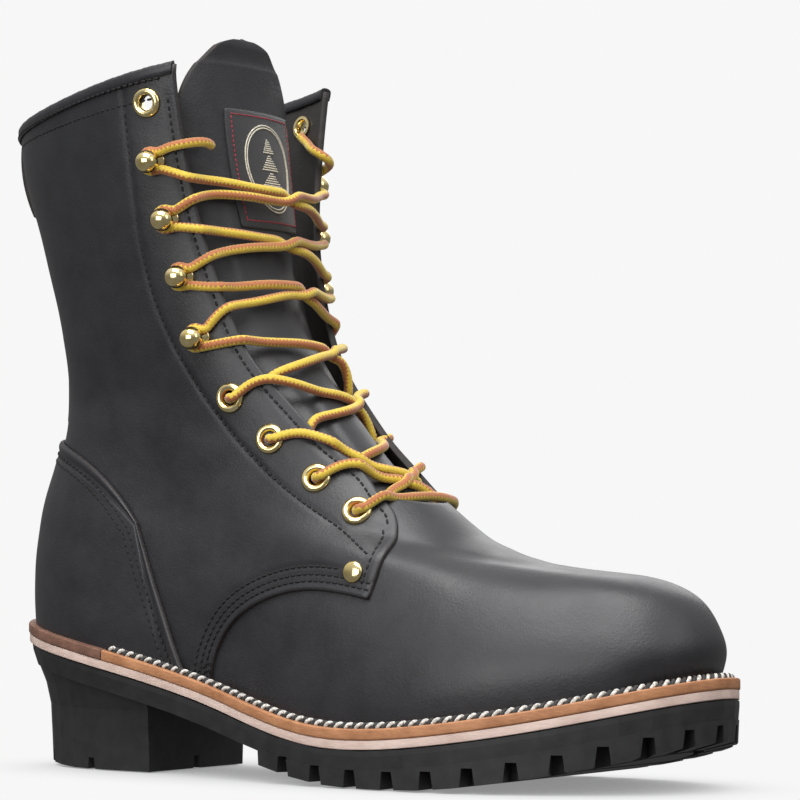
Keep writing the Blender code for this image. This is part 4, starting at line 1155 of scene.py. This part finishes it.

# The lace: one round braid in two runs that cross over the tongue. Points are given, and each row goes
# from the outer side to the inner one. An L row starts on the outer facing and an M row under it.
laceWay = {
    "bar": [(184, -25, 105), (188, -14, 107), (191, 2, 108), (191.5, 14, 107)],
    "L2": [(167, -27, 119), (174, -20, 119), (176, -12, 115), (179, -3, 110), (182, 6, 106)],
    "M2": [(184, -18, 107), (182, -6, 111), (176, 10, 116), (170, 22, 118.5)],
    "L3": [(148, -30, 132), (157, -25, 130), (164, -20, 126), (169, -15, 122), (173, -7, 117), (175, 2, 112)],
    "M3": [(169, -20, 118), (167, -5, 123), (161, 12, 128), (152, 25, 131)],
    "L4": [(130, -33, 151), (140, -28, 153), (145, -20, 151), (147, -4, 147), (148, 8, 143), (149, 16, 137)],
    "M4": [(151, -23, 135), (153, -5, 139), (147, 14, 146), (138, 28, 149)],
    "L5": [(118, -36, 167), (124, -31, 168), (130, -20, 168), (135, -4, 168), (137, 12, 165), (138, 20, 159)],
    "M5": [(135.5, -24, 155.5), (139, -18, 158), (141, -8, 161), (137, 12, 165), (127, 31, 168)],
    "L6": [(117, -35, 179), (123, -26, 183), (128, -2, 188), (127, 14, 189), (120, 32, 188)],
    "M6": [(113, -36, 189), (121, -24, 190), (128, -3, 191), (127, 10, 188), (125, 20, 183), (121, 32, 178)],
    "L7": [(113, -36, 201), (117, -28, 204), (122, -6, 207), (122, 10, 209), (115, 33, 210)],
    "M7": [(109, -37, 212), (116, -27, 211), (121, -4, 209), (122, 10, 207), (121, 22, 203), (116, 34, 198)],
    "L8": [(107, -38, 224), (115, -26, 226), (122, -2, 226), (122, 14, 227), (111, 38, 231)],
    "M8": [(107, -40, 232), (113, -30, 231), (119, -16, 229), (122, -2, 227), (122, 12, 225), (119, 24, 222),
           (112, 37, 219)],
    # the two ends, as ring, degrees and lift
    "outerEnd": [(16.00, -58, 4.8), (16.04, -52, 4.0), (16.05, -47, 1.4), (16.03, -43.5, -2.0),
                 (16.0, -42, -4.4)],
    "innerEnd": [(16.00, 57, 4.8), (16.06, 50, 3.6), (16.10, 46.5, -0.8), (16.16, 49, -4.2),
                 (16.28, 57, -3.9), (16.42, 64, -3.6)]}

# How the braid lies: clear of itself, over or under the facing, on the tongue, and held at eyelets and hooks.
lie = {"clear": 3.72, "step": 0.9, "apart": 12, "turns": 20, "shove": 0.30, "over": 3.6, "under": -3.4,
       "sunk": -0.6, "alwaysOver": 170, "aside": 1.6, "tongue": 1.95, "tongueDepth": -4.5, "tongueReach": 9,
       "hold": (("eyelets", 4.6), ("hooks", 6.0)), "neckLift": 4.35, "neckReach": 3.95, "topRow": 3}


def throughEyelet(index, side, rise=-0.25):
    # over the edge, into the hole and away under the facing
    ring, degrees = hardware["eyelets"][index]
    way = [(0, 1.6, 4.4), (0, 0, 2.2), (0, 0, -0.6), (-0.06, 1.5, -3.0), (rise, 8, -4.2)]
    return [spot(ring + up, side * (degrees - inward), lift)[0] for up, inward, lift in way]


def roundHook(index, side):
    # from below the hook, behind its neck, to above it
    ring, degrees = hardware["hooks"][index]
    centre, normal = spot(ring, side * degrees, lie["neckLift"])
    edgeward = unit(spot(ring, side * (degrees - 3), lie["neckLift"])[0] - centre)
    up = np.cross(normal, edgeward)
    up = up if up[2] > 0 else -up
    return [centre + lie["neckReach"] * (math.cos(a) * edgeward + math.sin(a) * up)
            for a in np.radians([-62, -100, -140, -180, -220, -260, -298])]


def laceRun(pieces):
    points = np.concatenate([np.asarray(piece, float) for piece in pieces])
    run = distances(points)
    return spline(run, points, np.linspace(0, run[-1], int(run[-1] / lie["step"])))


def facingSkin():
    # the last where the two facings cover it: a search tree, its points and the ways out of them
    points, ways = [], []
    for side in (-1, 1):
        ring, edge = locate(through(lines["facingEdge"], 260), side).T
        for step in np.linspace(0.2, 22, 26):
            angle = edge + side * np.radians(step)
            points.append(lastBase(ring, angle))
            ways.append(lastNormal(ring, angle))
    points = np.concatenate(points)
    return treeOf(points), points, np.concatenate(ways)


def tongueSkin():
    rows, shares = np.meshgrid(np.linspace(0.5, 9, 60), np.linspace(0.02, 0.98, 50), indexing="ij")
    points = onTongue(rows, shares, 0 * rows).reshape(-1, 3)
    return treeOf(points), points, onTongue(rows, shares, 0 * rows + 1).reshape(-1, 3) - points


def restOn(point, facing, cloth):
    # the point moved half way out of the leather that it has sunk into
    tree, skin, ways = facing
    _, nearest, span = tree.find(point)
    height = np.dot(point - skin[nearest], ways[nearest])
    aside = math.sqrt(max(span ** 2 - height ** 2, 0))
    if aside < lie["aside"] and lie["under"] < height < lie["over"]:
        isOver = height > lie["sunk"] or point[2] > lie["alwaysOver"]
        goal = lie["over"] if isOver else lie["under"]
        point = point + 0.5 * (goal - height) * ways[nearest]
        if not isOver:
            return point
    tree, skin, ways = cloth
    _, nearest, span = tree.find(point)
    height = np.dot(point - skin[nearest], ways[nearest])
    if span < lie["tongueReach"] and lie["tongueDepth"] < height < lie["tongue"]:
        point = point + 0.5 * (lie["tongue"] - height) * ways[nearest]
    return point


def restApart(runs):
    # strands settle side by side where they cross, and on top of the leather
    facing, cloth = facingSkin(), tongueSkin()
    every = np.concatenate(runs)
    fixed = np.zeros(len(every), bool)
    for places, reach in lie["hold"]:
        for ring, degrees in hardware[places]:
            for side in (-1, 1):
                fixed |= np.linalg.norm(every - spot(ring, side * degrees, 3)[0], axis=1) < reach
    owner = np.concatenate([np.full(len(run), k) for k, run in enumerate(runs)])
    place = np.concatenate([np.arange(len(run)) for run in runs])
    other = (owner[:, None] != owner[None]) | (np.abs(place[:, None] - place[None]) > lie["apart"])
    for _ in range(lie["turns"]):
        gap = every[:, None] - every[None]
        span = np.linalg.norm(gap, axis=-1)
        touch = other & (span < lie["clear"]) & (span > 1e-6)
        push = np.where(touch, (lie["clear"] - span) / (span + 1e-9), 0)
        mean = (push[..., None] * gap).sum(1) / np.maximum(touch.sum(1), 1)[:, None]
        every = every + lie["shove"] * np.clip(mean, -1, 1) * ~fixed[:, None]
        for i in np.flatnonzero(~fixed):
            every[i] = restOn(every[i], facing, cloth)
        for k in range(len(runs)):
            part, held = every[owner == k], fixed[owner == k][1:-1, None]
            for _ in range(2):
                mean = 0.5 * part[1:-1] + 0.25 * (part[:-2] + part[2:])
                part[1:-1] = np.where(held, part[1:-1], mean)
            every[owner == k] = part
    return [every[owner == k] for k in range(len(runs))]


def addLace(name, path, stands):
    path = evenly(path, int(distances(path)[-1] / braid["step"]))
    along = np.arange(len(path)) * braid["step"]
    thick = braid["radius"] * (1 + braid["swell"] * np.cos(2 * math.pi * along / braid["tooth"]))
    vertices, faces, uvs = tube(path, thick, braid["sides"], braid["tooth"], braid["stripe"], braid["turn"])
    return addPiece(name, vertices, faces, "lace", stands, uvs=uvs)


def makeLaces():
    # the bar goes through the lowest eyelets; each run then climbs from eyelet to eyelet and hook to hook
    outer, inner, way = -1, 1, laceWay
    bar = [throughEyelet(0, outer)[::-1], way["bar"], throughEyelet(0, inner)]
    first = [throughEyelet(0, outer)[-2:], way["M2"], throughEyelet(1, inner), way["L3"][::-1],
             throughEyelet(2, outer), way["M4"], throughEyelet(3, inner), way["L5"][::-1],
             roundHook(0, outer), way["L6"], roundHook(1, inner), way["M7"][::-1],
             roundHook(2, outer), way["L8"], roundHook(lie["topRow"], inner)[:2]]
    second = [throughEyelet(0, inner)[-2:], way["L2"][::-1], throughEyelet(1, outer), way["M3"],
              throughEyelet(2, inner), way["L4"][::-1], throughEyelet(3, outer, 0.2), way["M5"],
              roundHook(0, inner), way["M6"][::-1], roundHook(1, outer), way["L7"],
              roundHook(2, inner), way["M8"][::-1], roundHook(lie["topRow"], outer)[:2]]
    runs = restApart([laceRun(pieces) for pieces in (bar, first, second)])
    addLace("laceBar", runs[0], ["lace_bar"])
    addLace("laceFirstRun", runs[1], ["lace_cross_%d" % k for k in (1, 3, 5, 7)])
    addLace("laceSecondRun", runs[2], ["lace_cross_%d" % k for k in (2, 4, 6)])


def makeLaceEnds():
    for name, side, node, table in (("laceOuterEnd", -1, "lace_end_outer", laceWay["outerEnd"]),
                                    ("laceInnerEnd", 1, "lace_end_inner", laceWay["innerEnd"])):
        loose = [spot(ring, degrees, lift)[0] for ring, degrees, lift in table]
        path = through(roundHook(lie["topRow"], side)[1:] + loose, 40)
        piece = addLace(name, path, [node])


makeLaces()
makeLaceEnds()
print("laces done")

for node, finish in (("outsole", "rubber"), ("insole", "lining")):
    nodes[node].data.materials.clear()
    nodes[node].data.materials.append(materials[finish])

# Light, floor and background, as in the studio photograph. A softbox has a place, an aim, a size and a power.
studio = {
    # shadow and shadowReach set the contact shadow painted on the floor; bounce is the floor's glow that stands
    # in for bounced light
    "paper": "#f7f7f7", "shadow": ((0.0, "#8a8a8b"), (0.35, "#cfcfd0")), "shadowReach": 0.07, "bounce": 0.22,
    "bands": ((0.0, 0.66), (0.38, 0.52), (0.49, 0.20), (0.58, 0.28), (0.75, 0.72), (1.0, 1.0)),
    "floorReach": 2.5, "floorHeight": -0.0004,
    "lights": {
        "softboxAbove": ((0.25, -0.5, 1.15), (0.05, 0, 0.1), (1.0, 0.8), 17),
        "softboxToe": ((1.25, 0.1, 0.75), (0.1, 0, 0.08), (0.6, 0.8), 2.5),
        "softboxSide": ((0.1, -1.4, 0.35), (0, 0, 0.1), (1.0, 0.6), 8),
        "softboxBehind": ((-0.5, 1.1, 0.8), (0, 0, 0.15), (1.0, 0.8), 5)}}


def addLight(name, place, aim, size, power):
    lamp = bpy.data.lights.new(name, "AREA")
    lamp.shape = "RECTANGLE"
    lamp.size, lamp.size_y = size
    lamp.energy = power
    made = bpy.data.objects.new(name, lamp)
    bpy.context.scene.collection.objects.link(made)
    made.location = place
    made.rotation_mode = "QUATERNION"
    made.rotation_quaternion = (Vector(aim) - Vector(place)).to_track_quat("-Z", "Y")


def addStudio():
    world = bpy.data.worlds.new("studio")
    bpy.context.scene.world = world
    world.use_nodes = True
    tree = world.node_tree
    tree.nodes.clear()
    rays = addNode(tree, "ShaderNodeLightPath")
    seen = addNode(tree, "ShaderNodeBackground", {"Color": colour(studio["paper"]), "Strength": 1.0})
    way = addNode(tree, "ShaderNodeTexCoord")
    parts = addNode(tree, "ShaderNodeSeparateXYZ", links={"Vector": way.outputs["Generated"]})
    bands = ramp(tree, calculate(tree, "MULTIPLY_ADD", parts.outputs["Z"], 0.5, 0.5), studio["bands"])
    shone = addNode(tree, "ShaderNodeBackground", {"Strength": 1.0}, {"Color": bands.outputs["Color"]})
    both = addNode(tree, "ShaderNodeMixShader", None, {0: rays.outputs["Is Camera Ray"], 1: shone.outputs[0],
                                                       2: seen.outputs[0]})
    addNode(tree, "ShaderNodeOutputWorld", None, {"Surface": both.outputs[0]})
    for name, settings in studio["lights"].items():
        addLight(name, *settings)
    bpy.context.scene.view_settings.view_transform = "Standard"
    bpy.context.scene.view_settings.look = "None"


def addFloor():
    # white paper: the camera sees its even colour with a soft contact shadow painted in from ambient occlusion,
    # and it glows faintly to stand in for light bounced up
    data = bpy.data.meshes.new("studioFloor")
    reach, height = studio["floorReach"], studio["floorHeight"]
    corners = [(reach * x, reach * y, height) for x, y in ((-1, -1), (1, -1), (1, 1), (-1, 1))]
    data.from_pydata(corners, [], [(0, 1, 2, 3)])
    floor = bpy.data.objects.new("studioFloor", data)
    bpy.context.scene.collection.objects.link(floor)
    made = bpy.data.materials.new("paperFloor")
    made.use_nodes = True
    tree = made.node_tree
    tree.nodes.clear()
    # painted contact shadow: the floor's colour darkens where ambient occlusion finds the boot close by
    near = addNode(tree, "ShaderNodeAmbientOcclusion", {"samples": 8, "Distance": studio["shadowReach"]})
    tone = ramp(tree, near.outputs["AO"], [*studio["shadow"], (0.8, studio["paper"])])
    rays = addNode(tree, "ShaderNodeLightPath")
    seen = addNode(tree, "ShaderNodeEmission", {"Strength": 1.0}, {"Color": tone.outputs["Color"]})
    # painted bounce: a faint white glow that other rays see, standing in for light thrown up by the paper
    bounce = addNode(tree, "ShaderNodeEmission", {"Color": (1, 1, 1, 1), "Strength": studio["bounce"]})
    both = addNode(tree, "ShaderNodeMixShader", None, {0: rays.outputs["Is Camera Ray"], 1: bounce.outputs[0],
                                                       2: seen.outputs[0]})
    addNode(tree, "ShaderNodeOutputMaterial", None, {"Surface": both.outputs[0]})
    data.materials.append(made)


addStudio()
addFloor()
print("studio ready")
